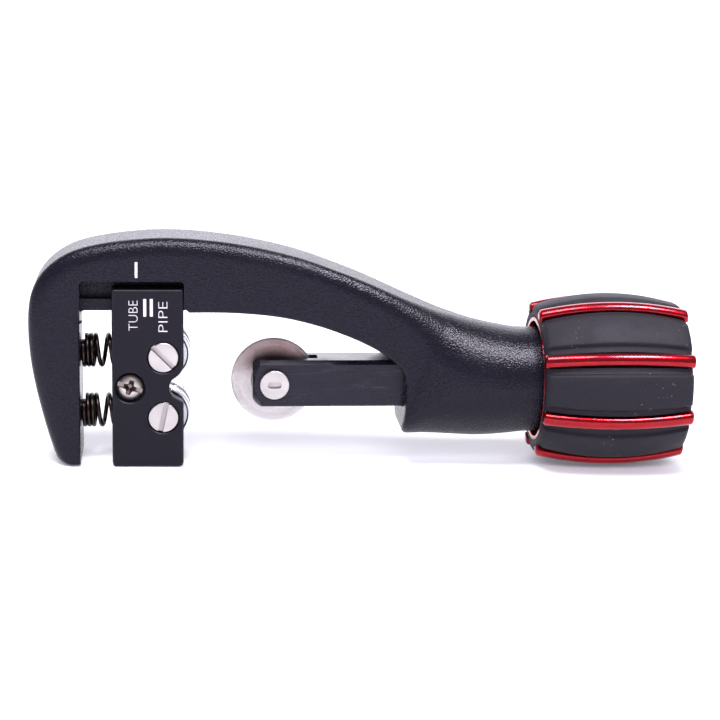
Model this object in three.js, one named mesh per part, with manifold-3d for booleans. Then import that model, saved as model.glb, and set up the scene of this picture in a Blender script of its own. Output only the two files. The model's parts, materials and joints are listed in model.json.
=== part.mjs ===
// Constant-swing pipe cutter for 3 to 28 mm tube, standing on its carriage and its knob.
// Millimetres, +Z up. +X runs from the arm to the knob along the feed axis, -Y is the marked side.
// Each piece is built about the feed axis (y = 0, z = 0); the whole cutter is then lifted onto Z = 0.
import * as THREE from 'three';
import { mergeVertices } from 'three/addons/utils/BufferGeometryUtils.js';
import Module from 'manifold-3d';

const wasm = await Module();
wasm.setup();

// ---- driving dimensions ----
const AXIS_HEIGHT = 18.4; // feed axis above the knob's underside, which the cutter stands on
const CARRIAGE_FOOT = 16.9; // carriage's lower edge below the feed axis
const GAP = 0.3; // clearance between neighbouring pieces

const FRAME_HALF_WIDTH = 8.5;
const FRAME_TOP = 31.2; // top of the beam above the feed axis
const ARM_TIP = -16.3;
const ARM_INNER_X = -58.55;
const OUTER_EDGE_DEPTH = 2.5; // rounding of the frame's outer edges, across the thickness
const OUTER_EDGE_RISE = 3.8; // and in the plane of the frame
const INNER_EDGE = 0.7;
const COLLAR_FRONT_X = 9.4;
const NECK_RADIUS = 11.2;
const NECK_END_X = 55.5;

const RAIL_BOTTOM = 15.8; // underside of the beam and of the T rail
const FLANGE_TOP = 18.2;
const GROOVE_TOP = 22.4;
const RAIL_END_X = -36.85;
const WEB_HALF = 2.5;
const FLANGE_HALF = 5.0;

const CARRIAGE_LEFT_X = -51.95;
const CARRIAGE_RIGHT_X = -37.15;
const CARRIAGE_TOP = 20.7;
const CARRIAGE_HALF_WIDTH = 8.3;
const ROLLER_X = -41.35;
const ROLLER_OFFSET = 6.4; // roller axes above and below the feed axis
const ROLLER_RADIUS = 5.8;
const ROLLER_HALF_WIDTH = 4.4;
const ROLLER_PIN_RADIUS = 2.0;
const ROLLER_HEAD_RADIUS = 3.1;
const CARRIAGE_SCREW_X = -48.25;
const CARRIAGE_SCREW_RADIUS = 1.5;
const CARRIAGE_HEAD_RADIUS = 2.8;

const SPRING_OFFSET = 6.45;
const SPRING_RADIUS = 3.2; // centre line of the wire
const SPRING_WIRE = 0.5;
const SPRING_TURNS = 3.6;
const SPRING_POCKET_X = -48.9;
const BOSS_RADIUS = 2.3;
const BOSS_LENGTH = 2.5;

const SLIDE_FRONT_X = -22.6;
const SLIDE_REAR_X = 31.35;
const SLIDE_HALF_WIDTH = 4.75;
const SLIDE_HALF_HEIGHT = 4.9;
const SLIDE_RETRACTION = 18; // the wheel's travel towards the knob

const WHEEL_X = -18.1;
const WHEEL_RADIUS = 9;
const WHEEL_SLOT_HALF = 1.8;
const WHEEL_PIN_RADIUS = 2.0;

const SCREW_TIP_X = 12.35;
const SCREW_RADIUS = 3.1;
const COLLAR_X = 50.2;
const BUSH_X = 52.5;
const THRUST_WASHER_X = 57.1;
const HUB_X = 58.2;
const HUB_END_X = 63.0;
const SHAFT_RADIUS = 3.0;

const KNOB_START_X = 37.6;
const KNOB_END_X = 69.6;
const RIB_MID_RADIUS = 18.8;
const RIB_END_RADIUS = 16.8;
const PAD_MID_RADIUS = 18.4;
const PAD_END_RADIUS = 15.9;
const RIB_COUNT = 8;
const RIB_WIDTH = 2.8;
const RIB_PHASE = THREE.MathUtils.degToRad(24.9); // first rib, measured up from -Y
const CHANNEL_WIDTH = 5.8;
const CHANNEL_DEPTH = 0.8;
const KNOB_CAVITY_RADIUS = 12.4;
const KNOB_SLEEVE_RADIUS = 13.6;

// ---- materials ----
const paint = (color, roughness, metalness) =>
  new THREE.MeshStandardMaterial({ color, roughness, metalness });
const blackCoat = () => paint(0x26262b, 0.5, 0.2);
const nickel = () => paint(0xc9c6c0, 0.28, 1.0);
const chrome = () => paint(0xd9d9d9, 0.12, 1.0);
const toolSteel = () => paint(0x8d867f, 0.35, 1.0);
const darkSteel = () => paint(0x302c2a, 0.45, 0.8);
const redAnodised = () => paint(0xa80714, 0.25, 0.7);
const rubber = () => paint(0x3b3b40, 0.85, 0.0);

// ---- solid helpers ----
function toSolid(geometry) {
  const bare = geometry.clone();
  bare.deleteAttribute('normal');
  bare.deleteAttribute('uv');
  const merged = mergeVertices(bare, 1e-4);
  return new wasm.Manifold(new wasm.Mesh({
    numProp: 3,
    vertProperties: new Float32Array(merged.attributes.position.array),
    triVerts: new Uint32Array(merged.index.array),
  }));
}

function toGeometry(solid) {
  const mesh = solid.getMesh();
  const geometry = new THREE.BufferGeometry();
  geometry.setAttribute('position', new THREE.BufferAttribute(mesh.vertProperties, 3));
  geometry.setIndex(new THREE.BufferAttribute(mesh.triVerts, 1));
  geometry.computeVertexNormals();
  return geometry;
}

const cutAll = (solid, cutters) => cutters.reduce((rest, cutter) => rest.subtract(cutter), solid);
const joinAll = (solids) => solids.reduce((sum, solid) => sum.add(solid));

function block(x0, x1, y0, y1, z0, z1) {
  const geometry = new THREE.BoxGeometry(x1 - x0, y1 - y0, z1 - z0);
  geometry.translate((x0 + x1) / 2, (y0 + y1) / 2, (z0 + z1) / 2);
  return toSolid(geometry);
}

function rodAlongX(radius, x0, x1, z = 0, segments = 24) {
  const geometry = new THREE.CylinderGeometry(radius, radius, x1 - x0, segments);
  geometry.rotateZ(-Math.PI / 2);
  geometry.translate((x0 + x1) / 2, 0, z);
  return toSolid(geometry);
}

function rodAlongY(radius, y0, y1, x, z, segments = 20) {
  const geometry = new THREE.CylinderGeometry(radius, radius, y1 - y0, segments);
  geometry.translate(x, (y0 + y1) / 2, z);
  return toSolid(geometry);
}

// profile: [radius, station] pairs, turned about the X axis
function turnedAboutX(profile, segments = 28) {
  const geometry = new THREE.LatheGeometry(profile.map(([r, s]) => new THREE.Vector2(r, s)), segments);
  geometry.rotateZ(-Math.PI / 2);
  return toSolid(geometry);
}

// profile: [radius, station] pairs, turned about the Y axis through (x, z)
function turnedAboutY(profile, x, z, segments = 24) {
  const geometry = new THREE.LatheGeometry(profile.map(([r, s]) => new THREE.Vector2(r, s)), segments);
  geometry.translate(x, 0, z);
  return toSolid(geometry);
}

// shape drawn in x and z, with its full thickness between y0 and y1, bevel included
function plate(shape, y0, y1, bevelDepth = 0, bevelInset = bevelDepth, steps = 3, curveSegments = 5) {
  const geometry = new THREE.ExtrudeGeometry(shape, {
    depth: y1 - y0 - 2 * bevelDepth,
    bevelEnabled: bevelDepth > 0,
    bevelThickness: bevelDepth,
    bevelSize: bevelInset,
    bevelOffset: -bevelInset,
    bevelSegments: steps,
    curveSegments,
  });
  geometry.rotateX(Math.PI / 2);
  geometry.translate(0, y1 - bevelDepth, 0);
  return toSolid(geometry);
}

const points = (pairs) => pairs.map(([x, z]) => new THREE.Vector2(x, z));

function roundedRectangle(x0, x1, z0, z1, radius) {
  const shape = new THREE.Shape();
  shape.moveTo(x0 + radius, z0);
  shape.lineTo(x1 - radius, z0);
  shape.absarc(x1 - radius, z0 + radius, radius, -Math.PI / 2, 0, false);
  shape.absarc(x1 - radius, z1 - radius, radius, 0, Math.PI / 2, false);
  shape.absarc(x0 + radius, z1 - radius, radius, Math.PI / 2, Math.PI, false);
  shape.absarc(x0 + radius, z0 + radius, radius, Math.PI, Math.PI * 1.5, false);
  return shape;
}

// ---- frame ----
// The outside of the arm, shoulder and beam, from just above the arm's tip to the neck.
function traceFrameBack(shape) {
  shape.lineTo(-63.8, -14.6);
  shape.splineThru(points([
    [-66.2, -6.5], [-68.4, 3.0], [-69.2, 12.0], [-68.3, 20.0], [-65.2, 25.0], [-60.4, 28.3], [-52.0, 30.4],
    [-37.9, FRAME_TOP], [-25.2, 29.9], [-12.5, 26.9], [0.3, 22.2], [13.3, 16.6], [26.3, 12.6], [36, 11.0],
  ]));
}

// The outer edge alone, left open far below, so that only the outside takes the large rounding.
function frameSilhouette() {
  const shape = new THREE.Shape();
  shape.moveTo(-59.0, -31.0);
  traceFrameBack(shape);
  shape.lineTo(50, 9.0);
  shape.lineTo(50, -31.0);
  return shape;
}

function frameOutline() {
  const shape = new THREE.Shape();
  shape.moveTo(ARM_INNER_X, ARM_TIP);
  shape.lineTo(-61.6, ARM_TIP);
  shape.quadraticCurveTo(-63.2, ARM_TIP, -63.8, -14.6);
  traceFrameBack(shape);
  shape.lineTo(36, -4.0);
  shape.lineTo(9.1, -4.0);
  shape.lineTo(COLLAR_FRONT_X, 0.5);
  shape.splineThru(points([[8.0, 4.4], [2.6, 8.2], [-9.9, 13.2], [-18.0, 15.0], [-27.0, RAIL_BOTTOM]]));
  shape.lineTo(ARM_INNER_X, RAIL_BOTTOM);
  return shape;
}

function neckSolid() {
  return turnedAboutX([
    [0, 9.2], [8.0, 9.0], [9.9, 10.2], [10.7, 13.2], [11.4, 19.7], [11.6, 26.0],
    [11.3, 32.0], [NECK_RADIUS, 36.0], [NECK_RADIUS, NECK_END_X - 1], [NECK_RADIUS - 1, NECK_END_X],
    [0, NECK_END_X],
  ], 36);
}

// A round envelope that draws the flat-sided beam in to the round neck.
function neckEnvelope() {
  return turnedAboutX([
    [0, -80], [42, -80], [42, -12], [26, 10], [18.2, 18], [14.4, 25], [11.9, 31], [10.2, 36.5], [0, 36.5],
  ], 32);
}

function railGroove(side) {
  const outside = side * (FRAME_HALF_WIDTH + 1);
  const spanY = (inner) => [Math.min(side * inner, outside), Math.max(side * inner, outside)];
  const besideWeb = block(ARM_INNER_X, RAIL_END_X, ...spanY(WEB_HALF), FLANGE_TOP, GROOVE_TOP);
  const besideFlange = block(ARM_INNER_X, RAIL_END_X, ...spanY(FLANGE_HALF), RAIL_BOTTOM - 1, FLANGE_TOP);
  return besideWeb.add(besideFlange);
}

// The path the wheel sweeps as it backs into the collar.
function wheelSlot() {
  const radius = WHEEL_RADIUS + 0.6;
  const half = WHEEL_SLOT_HALF + 0.3;
  const endX = WHEEL_X + SLIDE_RETRACTION;
  const shape = new THREE.Shape();
  shape.moveTo(endX - 12, -radius);
  shape.absarc(endX, 0, radius, -Math.PI / 2, Math.PI / 2, false);
  shape.lineTo(endX - 12, radius);
  return plate(shape, -half, half);
}

function frameBody() {
  const rounded = plate(frameSilhouette(), -FRAME_HALF_WIDTH, FRAME_HALF_WIDTH,
    OUTER_EDGE_DEPTH, OUTER_EDGE_RISE, 4, 3);
  const cut = plate(frameOutline(), -FRAME_HALF_WIDTH, FRAME_HALF_WIDTH, INNER_EDGE, INNER_EDGE, 2, 3);
  const bosses = [SPRING_OFFSET, -SPRING_OFFSET].map((z) =>
    rodAlongX(BOSS_RADIUS, ARM_INNER_X - 1, ARM_INNER_X + BOSS_LENGTH, z, 20));
  const slideSlot = block(5, BUSH_X - 0.1, -SLIDE_HALF_WIDTH - GAP, SLIDE_HALF_WIDTH + GAP,
    -SLIDE_HALF_HEIGHT - GAP, SLIDE_HALF_HEIGHT + GAP);
  const bushSeat = rodAlongX(7.3, BUSH_X - 0.2, NECK_END_X + 1);
  const beam = rounded.intersect(cut).intersect(neckEnvelope());
  const casting = joinAll([beam, neckSolid(), ...bosses]);
  return cutAll(casting, [railGroove(1), railGroove(-1), slideSlot, wheelSlot(), bushSeat]);
}

// ---- carriage ----
function carriageOutline() {
  const shape = new THREE.Shape();
  const corner = 1.5;
  shape.moveTo(CARRIAGE_LEFT_X + corner, -CARRIAGE_FOOT);
  shape.lineTo(CARRIAGE_RIGHT_X - corner, -CARRIAGE_FOOT);
  shape.quadraticCurveTo(CARRIAGE_RIGHT_X, -CARRIAGE_FOOT, CARRIAGE_RIGHT_X, -CARRIAGE_FOOT + corner);
  shape.lineTo(CARRIAGE_RIGHT_X, -3.0);
  shape.quadraticCurveTo(-40.2, -1.2, -40.1, 0);
  shape.quadraticCurveTo(-40.2, 1.2, CARRIAGE_RIGHT_X, 3.0);
  shape.lineTo(CARRIAGE_RIGHT_X, CARRIAGE_TOP);
  shape.lineTo(CARRIAGE_LEFT_X, CARRIAGE_TOP);
  shape.lineTo(CARRIAGE_LEFT_X, -CARRIAGE_FOOT + corner);
  shape.quadraticCurveTo(CARRIAGE_LEFT_X, -CARRIAGE_FOOT, CARRIAGE_LEFT_X + corner, -CARRIAGE_FOOT);
  return shape;
}

// side is -1 for the marked half that the screw heads sit in, +1 for the far half they thread into
function carriageHalf(side) {
  const whole = plate(carriageOutline(), -CARRIAGE_HALF_WIDTH, CARRIAGE_HALF_WIDTH, 0.7, 0.7, 2);
  const split = 0.15;
  const keep = side < 0 ? block(-60, -30, -9, -split, -20, 25) : block(-60, -30, split, 9, -20, 25);
  const rollerRoom = block(ROLLER_X - ROLLER_RADIUS - 0.4, CARRIAGE_RIGHT_X + 1,
    -ROLLER_HALF_WIDTH - 0.35, ROLLER_HALF_WIDTH + 0.35, -ROLLER_OFFSET - 6.2, ROLLER_OFFSET + 6.2);
  const flangeRoom = block(-60, -30, -FLANGE_HALF - GAP, FLANGE_HALF + GAP, RAIL_BOTTOM - GAP, FLANGE_TOP + GAP);
  const webRoom = block(-60, -30, -WEB_HALF - GAP, WEB_HALF + GAP, FLANGE_TOP, CARRIAGE_TOP + 1);
  const cutters = [rollerRoom, flangeRoom, webRoom];
  for (const z of [ROLLER_OFFSET, -ROLLER_OFFSET]) {
    cutters.push(rodAlongY(ROLLER_PIN_RADIUS + GAP, -9, 9, ROLLER_X, z));
    cutters.push(rodAlongY(ROLLER_HEAD_RADIUS + GAP, -9, -6.7, ROLLER_X, z));
  }
  for (const z of [SPRING_OFFSET, -SPRING_OFFSET]) {
    cutters.push(rodAlongX(4.1, CARRIAGE_LEFT_X - 1, SPRING_POCKET_X, z));
  }
  cutters.push(rodAlongY(CARRIAGE_SCREW_RADIUS + GAP, -9, 9, CARRIAGE_SCREW_X, 0));
  cutters.push(rodAlongY(3.2, -9, -6.5, CARRIAGE_SCREW_X, 0));
  return cutAll(whole.intersect(keep), cutters);
}

function roller(z) {
  const w = ROLLER_HALF_WIDTH;
  const bore = ROLLER_PIN_RADIUS + GAP;
  return turnedAboutY([
    [bore, -w], [ROLLER_RADIUS - 0.3, -w], [ROLLER_RADIUS, -w + 0.3], [ROLLER_RADIUS, -1.2],
    [5.3, -0.9], [5.3, 0.9], [ROLLER_RADIUS, 1.2], [ROLLER_RADIUS, w - 0.3],
    [ROLLER_RADIUS - 0.3, w], [bore, w], [bore, -w],
  ], ROLLER_X, z, 28);
}

// slotAngle: direction of the driver slot, measured up from +X
function rollerScrew(z, slotAngle) {
  const body = turnedAboutY([
    [0, -8.2], [2.8, -8.2], [ROLLER_HEAD_RADIUS, -7.95], [ROLLER_HEAD_RADIUS, -7.0],
    [ROLLER_PIN_RADIUS, -7.0], [ROLLER_PIN_RADIUS, 7.4], [1.7, 7.8], [0, 7.8],
  ], 0, 0);
  const slot = block(-4, 4, -9, -7.5, -0.45, 0.45).rotate([0, -slotAngle, 0]);
  return body.subtract(slot).translate([ROLLER_X, 0, z]);
}

function carriageScrew() {
  const body = turnedAboutY([
    [0, -8.1], [2.0, -8.0], [CARRIAGE_HEAD_RADIUS, -7.6], [CARRIAGE_HEAD_RADIUS, -6.8],
    [CARRIAGE_SCREW_RADIUS, -6.8], [CARRIAGE_SCREW_RADIUS, 7.0], [1.2, 7.3], [0, 7.3],
  ], 0, 0);
  const arm = block(-1.7, 1.7, -9, -7.1, -0.4, 0.4);
  const recess = arm.add(arm.rotate([0, 90, 0])).rotate([0, -27, 0]);
  return body.subtract(recess).translate([CARRIAGE_SCREW_X, 0, 0]);
}

// ---- springs ----
class SpringCurve extends THREE.Curve {
  constructor(x0, x1, z) {
    super();
    this.x0 = x0;
    this.x1 = x1;
    this.z = z;
  }

  getPoint(t, target = new THREE.Vector3()) {
    const angle = t * SPRING_TURNS * 2 * Math.PI;
    const x = THREE.MathUtils.lerp(this.x0, this.x1, t);
    return target.set(x, SPRING_RADIUS * Math.cos(angle), this.z + SPRING_RADIUS * Math.sin(angle));
  }
}

function springGeometry(z) {
  const section = new THREE.Shape();
  section.absarc(0, 0, SPRING_WIRE, 0, 2 * Math.PI, false);
  const path = new SpringCurve(ARM_INNER_X + SPRING_WIRE + GAP, SPRING_POCKET_X - SPRING_WIRE - GAP, z);
  return new THREE.ExtrudeGeometry(section, { steps: 46, curveSegments: 3, extrudePath: path });
}

// ---- slide and cutting wheel ----
function slideBar() {
  const outline = roundedRectangle(SLIDE_FRONT_X, SLIDE_REAR_X, -SLIDE_HALF_HEIGHT, SLIDE_HALF_HEIGHT, 1.8);
  const bar = plate(outline, -SLIDE_HALF_WIDTH, SLIDE_HALF_WIDTH, 0.5, 0.5, 1);
  const slotEnd = WHEEL_X + WHEEL_RADIUS + GAP;
  return cutAll(bar, [
    block(SLIDE_FRONT_X - 1, slotEnd, -WHEEL_SLOT_HALF, WHEEL_SLOT_HALF, -6, 6),
    rodAlongX(SCREW_RADIUS + GAP, -7.3, SLIDE_REAR_X + 1),
    rodAlongY(WHEEL_PIN_RADIUS + GAP, -6, 6, WHEEL_X, 0),
  ]);
}

function cutterWheel() {
  const bore = WHEEL_PIN_RADIUS + GAP;
  return turnedAboutY([
    [bore, -1.5], [4.6, -1.5], [4.8, -1.0], [8.35, -1.0], [WHEEL_RADIUS, -0.08],
    [WHEEL_RADIUS, 0.08], [8.35, 1.0], [4.8, 1.0], [4.6, 1.5], [bore, 1.5], [bore, -1.5],
  ], WHEEL_X, 0, 40);
}

function wheelPin() {
  const body = turnedAboutY([
    [0, -6.1], [2.8, -6.1], [3.05, -5.85], [3.05, -5.05], [WHEEL_PIN_RADIUS, -5.05],
    [WHEEL_PIN_RADIUS, 5.1], [1.45, 5.1], [1.45, 6.3], [WHEEL_PIN_RADIUS, 6.3],
    [WHEEL_PIN_RADIUS - 0.3, 6.9], [0, 6.9],
  ], 0, 0);
  const recess = plate(roundedRectangle(-1.4, 1.4, -0.7, 0.7, 0.69), -7, -5.6);
  return body.subtract(recess).translate([WHEEL_X, 0, 0]);
}

// An open ring that snaps into the groove behind the slide.
function wheelPinClip() {
  const ring = new THREE.Shape();
  const mouth = 0.7;
  ring.absarc(0, 0, 3.4, mouth, 2 * Math.PI - mouth, false);
  ring.absarc(0, 0, 1.75, 2 * Math.PI - mouth, mouth, true);
  return plate(ring, 5.35, 6.0).translate([WHEEL_X, 0, 0]);
}

// ---- feed screw and its bearing in the neck ----
function feedScrew() {
  const body = turnedAboutX([
    [0, SCREW_TIP_X], [SCREW_RADIUS - 0.9, SCREW_TIP_X], [SCREW_RADIUS, SCREW_TIP_X + 0.9],
    [SCREW_RADIUS, COLLAR_X], [4.5, COLLAR_X], [4.5, COLLAR_X + 2], [SHAFT_RADIUS, COLLAR_X + 2],
    [SHAFT_RADIUS, HUB_END_X - 0.3], [0, HUB_END_X - 0.3],
  ], 24);
  return body.subtract(rodAlongX(1.8, HUB_END_X - 8, HUB_END_X + 1, 0, 20));
}

function neckBush() {
  const bore = SHAFT_RADIUS + GAP;
  const flangeX = NECK_END_X + GAP;
  return turnedAboutX([
    [bore, BUSH_X], [7.0, BUSH_X], [7.0, flangeX], [9.0, flangeX], [9.0, flangeX + 1],
    [bore, flangeX + 1], [bore, BUSH_X],
  ]);
}

function washer(x, thickness, outerRadius, boreRadius) {
  return turnedAboutX([
    [boreRadius, x], [outerRadius, x], [outerRadius, x + thickness],
    [boreRadius, x + thickness], [boreRadius, x],
  ]);
}

// ---- knob ----
// A barrel's outline: radius endRadius at both ends of x0 to x1 and midRadius halfway along.
function barrelArc(x0, x1, midRadius, endRadius, count) {
  const crest = 2 * midRadius - endRadius;
  const curve = new THREE.QuadraticBezierCurve(
    new THREE.Vector2(endRadius, x0),
    new THREE.Vector2(crest, (x0 + x1) / 2),
    new THREE.Vector2(endRadius, x1),
  );
  return curve.getPoints(count).map((p) => [p.x, p.y]);
}

const ribAngles = Array.from({ length: RIB_COUNT }, (_, i) => RIB_PHASE + (i * 2 * Math.PI) / RIB_COUNT);

// Turns a solid that points along +Z about the feed axis until it points up from -Y by angle.
function aroundKnob(solid, angle) {
  return solid.rotate([90 - THREE.MathUtils.radToDeg(angle), 0, 0]);
}

function ribSolid(halfWidth, floorRadius, midRadius, endRadius, x0, x1, bevel) {
  const shape = new THREE.Shape();
  shape.moveTo(x0, floorRadius);
  shape.lineTo(x1, floorRadius);
  shape.lineTo(x1, endRadius);
  shape.quadraticCurveTo((x0 + x1) / 2, 2 * midRadius - endRadius, x0, endRadius);
  return plate(shape, -halfWidth, halfWidth, bevel, bevel, 2);
}

function knobCore() {
  const tubeStart = KNOB_START_X + 1.2;
  const tubeEnd = KNOB_END_X - 1.2;
  const sleeve = turnedAboutX([
    [KNOB_CAVITY_RADIUS, tubeStart], [KNOB_SLEEVE_RADIUS, tubeStart], [KNOB_SLEEVE_RADIUS, tubeEnd],
    [KNOB_CAVITY_RADIUS, tubeEnd], [KNOB_CAVITY_RADIUS, HUB_END_X], [SHAFT_RADIUS + GAP, HUB_END_X],
    [SHAFT_RADIUS + GAP, HUB_X], [KNOB_CAVITY_RADIUS, HUB_X], [KNOB_CAVITY_RADIUS, tubeStart],
  ], 32);
  const rib = ribSolid(RIB_WIDTH / 2, KNOB_SLEEVE_RADIUS - 0.4, RIB_MID_RADIUS, RIB_END_RADIUS,
    KNOB_START_X, KNOB_END_X, 0.8);
  return joinAll([sleeve, ...ribAngles.map((angle) => aroundKnob(rib, angle))]);
}

function knobGrip() {
  const x0 = KNOB_START_X + 0.3;
  const x1 = KNOB_END_X - 0.3;
  const seat = KNOB_SLEEVE_RADIUS + GAP;
  const coreStart = KNOB_START_X + 0.9;
  const coreEnd = KNOB_END_X - 0.9;
  const blank = turnedAboutX([
    [KNOB_CAVITY_RADIUS, x0], ...barrelArc(x0, x1, PAD_MID_RADIUS, PAD_END_RADIUS, 6),
    [KNOB_CAVITY_RADIUS, x1], [KNOB_CAVITY_RADIUS, coreEnd], [seat, coreEnd], [seat, coreStart],
    [KNOB_CAVITY_RADIUS, coreStart], [KNOB_CAVITY_RADIUS, x0],
  ], 48);
  const ribRoom = ribSolid(RIB_WIDTH / 2 + GAP, KNOB_SLEEVE_RADIUS - 0.75, 22, 22, x0 - 2, x1 + 2, 0);
  const channel = ribSolid(CHANNEL_WIDTH / 2, PAD_MID_RADIUS - CHANNEL_DEPTH,
    22, 22, x0 - 2, x1 + 2, 0);
  return cutAll(blank, ribAngles.flatMap((angle) => [aroundKnob(ribRoom, angle), aroundKnob(channel, angle)]));
}

function knobScrew() {
  const body = turnedAboutX([
    [0, HUB_END_X - 6], [1.5, HUB_END_X - 6], [1.5, HUB_END_X + 1.3], [3.4, HUB_END_X + 1.3],
    [3.4, HUB_END_X + 3.0], [3.1, HUB_END_X + 3.3], [0, HUB_END_X + 3.3],
  ], 24);
  return body.subtract(rodAlongX(1.6, HUB_END_X + 1.9, HUB_END_X + 4, 0, 6));
}

function knobCap() {
  const x = KNOB_END_X - 2.3;
  return turnedAboutX([
    [0, x], [KNOB_CAVITY_RADIUS - GAP, x], [KNOB_CAVITY_RADIUS - GAP, x + 1.2],
    [KNOB_CAVITY_RADIUS - 1, x + 1.5], [8.5, x + 1.5], [8.0, x + 1.1], [0, x + 1.1],
  ], 32);
}

// ---- assembly ----
const cutter = new THREE.Group();
cutter.position.z = AXIS_HEIGHT;

function addPiece(name, shape, material) {
  const geometry = shape instanceof THREE.BufferGeometry ? shape : toGeometry(shape);
  const mesh = new THREE.Mesh(geometry, material);
  mesh.name = name;
  cutter.add(mesh);
}

addPiece('frame_body', frameBody(), blackCoat());
addPiece('carriage_near_half', carriageHalf(-1), blackCoat());
addPiece('carriage_far_half', carriageHalf(1), blackCoat());
addPiece('upper_roller', roller(ROLLER_OFFSET), chrome());
addPiece('lower_roller', roller(-ROLLER_OFFSET), chrome());
addPiece('upper_roller_screw', rollerScrew(ROLLER_OFFSET, -45), nickel());
addPiece('lower_roller_screw', rollerScrew(-ROLLER_OFFSET, 78), nickel());
addPiece('carriage_screw', carriageScrew(), nickel());
addPiece('upper_spring', springGeometry(SPRING_OFFSET), darkSteel());
addPiece('lower_spring', springGeometry(-SPRING_OFFSET), darkSteel());
addPiece('slide_bar', slideBar(), blackCoat());
addPiece('cutter_wheel', cutterWheel(), toolSteel());
addPiece('wheel_pin', wheelPin(), nickel());
addPiece('wheel_pin_clip', wheelPinClip(), darkSteel());
addPiece('feed_screw', feedScrew(), toolSteel());
addPiece('neck_bush', neckBush(), toolSteel());
addPiece('thrust_washer', washer(THRUST_WASHER_X, 0.8, 8.5, SHAFT_RADIUS + GAP), nickel());
addPiece('knob_core', knobCore(), redAnodised());
addPiece('knob_grip', knobGrip(), rubber());
addPiece('knob_washer', washer(HUB_END_X + GAP, 0.7, 5.0, 1.5 + GAP), nickel());
addPiece('knob_screw', knobScrew(), darkSteel());
addPiece('knob_cap', knobCap(), rubber());

export default cutter;
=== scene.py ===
"""Pipe cutter: casting, roller carriage, wheel slide and ribbed knob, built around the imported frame.

Shapes are worked out in millimetres about the feed axis (y = 0, z = 0) and put into meshes in metres.
+X runs from the arm to the knob, -Y is the marked side and +Z is up.
"""

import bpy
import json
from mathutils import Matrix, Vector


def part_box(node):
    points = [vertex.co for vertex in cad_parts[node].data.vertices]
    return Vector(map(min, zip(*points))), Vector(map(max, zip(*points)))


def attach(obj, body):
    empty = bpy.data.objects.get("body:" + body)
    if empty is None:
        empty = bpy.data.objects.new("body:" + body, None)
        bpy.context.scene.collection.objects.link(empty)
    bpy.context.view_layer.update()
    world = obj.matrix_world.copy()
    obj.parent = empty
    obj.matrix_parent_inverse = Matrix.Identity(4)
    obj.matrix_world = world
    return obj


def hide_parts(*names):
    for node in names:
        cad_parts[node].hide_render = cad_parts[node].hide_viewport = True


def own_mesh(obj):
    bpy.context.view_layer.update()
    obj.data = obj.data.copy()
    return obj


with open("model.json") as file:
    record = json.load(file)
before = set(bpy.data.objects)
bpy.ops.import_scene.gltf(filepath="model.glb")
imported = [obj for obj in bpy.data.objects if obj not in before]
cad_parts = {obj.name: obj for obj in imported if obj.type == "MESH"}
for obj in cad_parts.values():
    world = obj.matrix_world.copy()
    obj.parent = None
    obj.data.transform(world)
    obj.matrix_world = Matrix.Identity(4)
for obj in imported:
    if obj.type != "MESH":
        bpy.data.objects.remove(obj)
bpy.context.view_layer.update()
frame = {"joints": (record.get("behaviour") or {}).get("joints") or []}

import json
import math

import bmesh
import bpy
import numpy as np
from mathutils import Matrix, Vector

bl_info = {
    "name": "Pipe Cutter",
    "version": (1, 0, 0),
    "blender": (4, 5, 0),
    "location": "View3D > Sidebar > Pipe Cutter",
    "description": "Builds a hand pipe cutter around its packed frame",
    "category": "Add Mesh",
}

MM = 0.001
JOINTS = {joint["name"]: joint for joint in frame["joints"]}
AXIS_HEIGHT = JOINTS["knob_turn"]["pos_m"][2] / MM
FULL_TURN = 2 * math.pi
SHEEN = (0.88, 0.84, 1.0)

# Millimetres: the arm's inner face and the spring pockets' floor along X, and the room round the slide.
ARM_FACE = -58.55
POCKET_FLOOR = -48.9
RUNNING_GAP = 0.3


def span(node):
    """Lowest and highest corner of a CAD node, in millimetres about the feed axis."""
    low, high = (np.array(corner, float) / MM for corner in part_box(node))
    low[2] -= AXIS_HEIGHT
    high[2] -= AXIS_HEIGHT
    return low, high


def middle(node):
    """Centre of a CAD node's box, in millimetres about the feed axis."""
    low, high = span(node)
    return (low + high) / 2


# ---------------------------------------------------------------- settings


class PipeCutterSizes(bpy.types.PropertyGroup):
    """Sizes that set the look of the casting, the knob and the small parts."""

    coat_grain: bpy.props.FloatProperty(
        name="Coat grain", description="Size of the grains in the casting's textured coat",
        default=0.00038, min=0.0001, max=0.003, subtype="DISTANCE", unit="LENGTH")
    thread_pitch: bpy.props.FloatProperty(
        name="Feed pitch", description="Travel of the slide for each turn of the knob",
        default=0.0015, min=0.0005, max=0.004, subtype="DISTANCE", unit="LENGTH")
    rib_width: bpy.props.FloatProperty(
        name="Rib width", description="Width of each red rib on the knob",
        default=0.0028, min=0.001, max=0.006, subtype="DISTANCE", unit="LENGTH")
    rib_count: bpy.props.IntProperty(
        name="Ribs", description="Number of ribs round the knob", default=8, min=3, max=16)
    spring_wire: bpy.props.FloatProperty(
        name="Spring wire", description="Diameter of the springs' wire",
        default=0.0009, min=0.0004, max=0.002, subtype="DISTANCE", unit="LENGTH")


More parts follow.
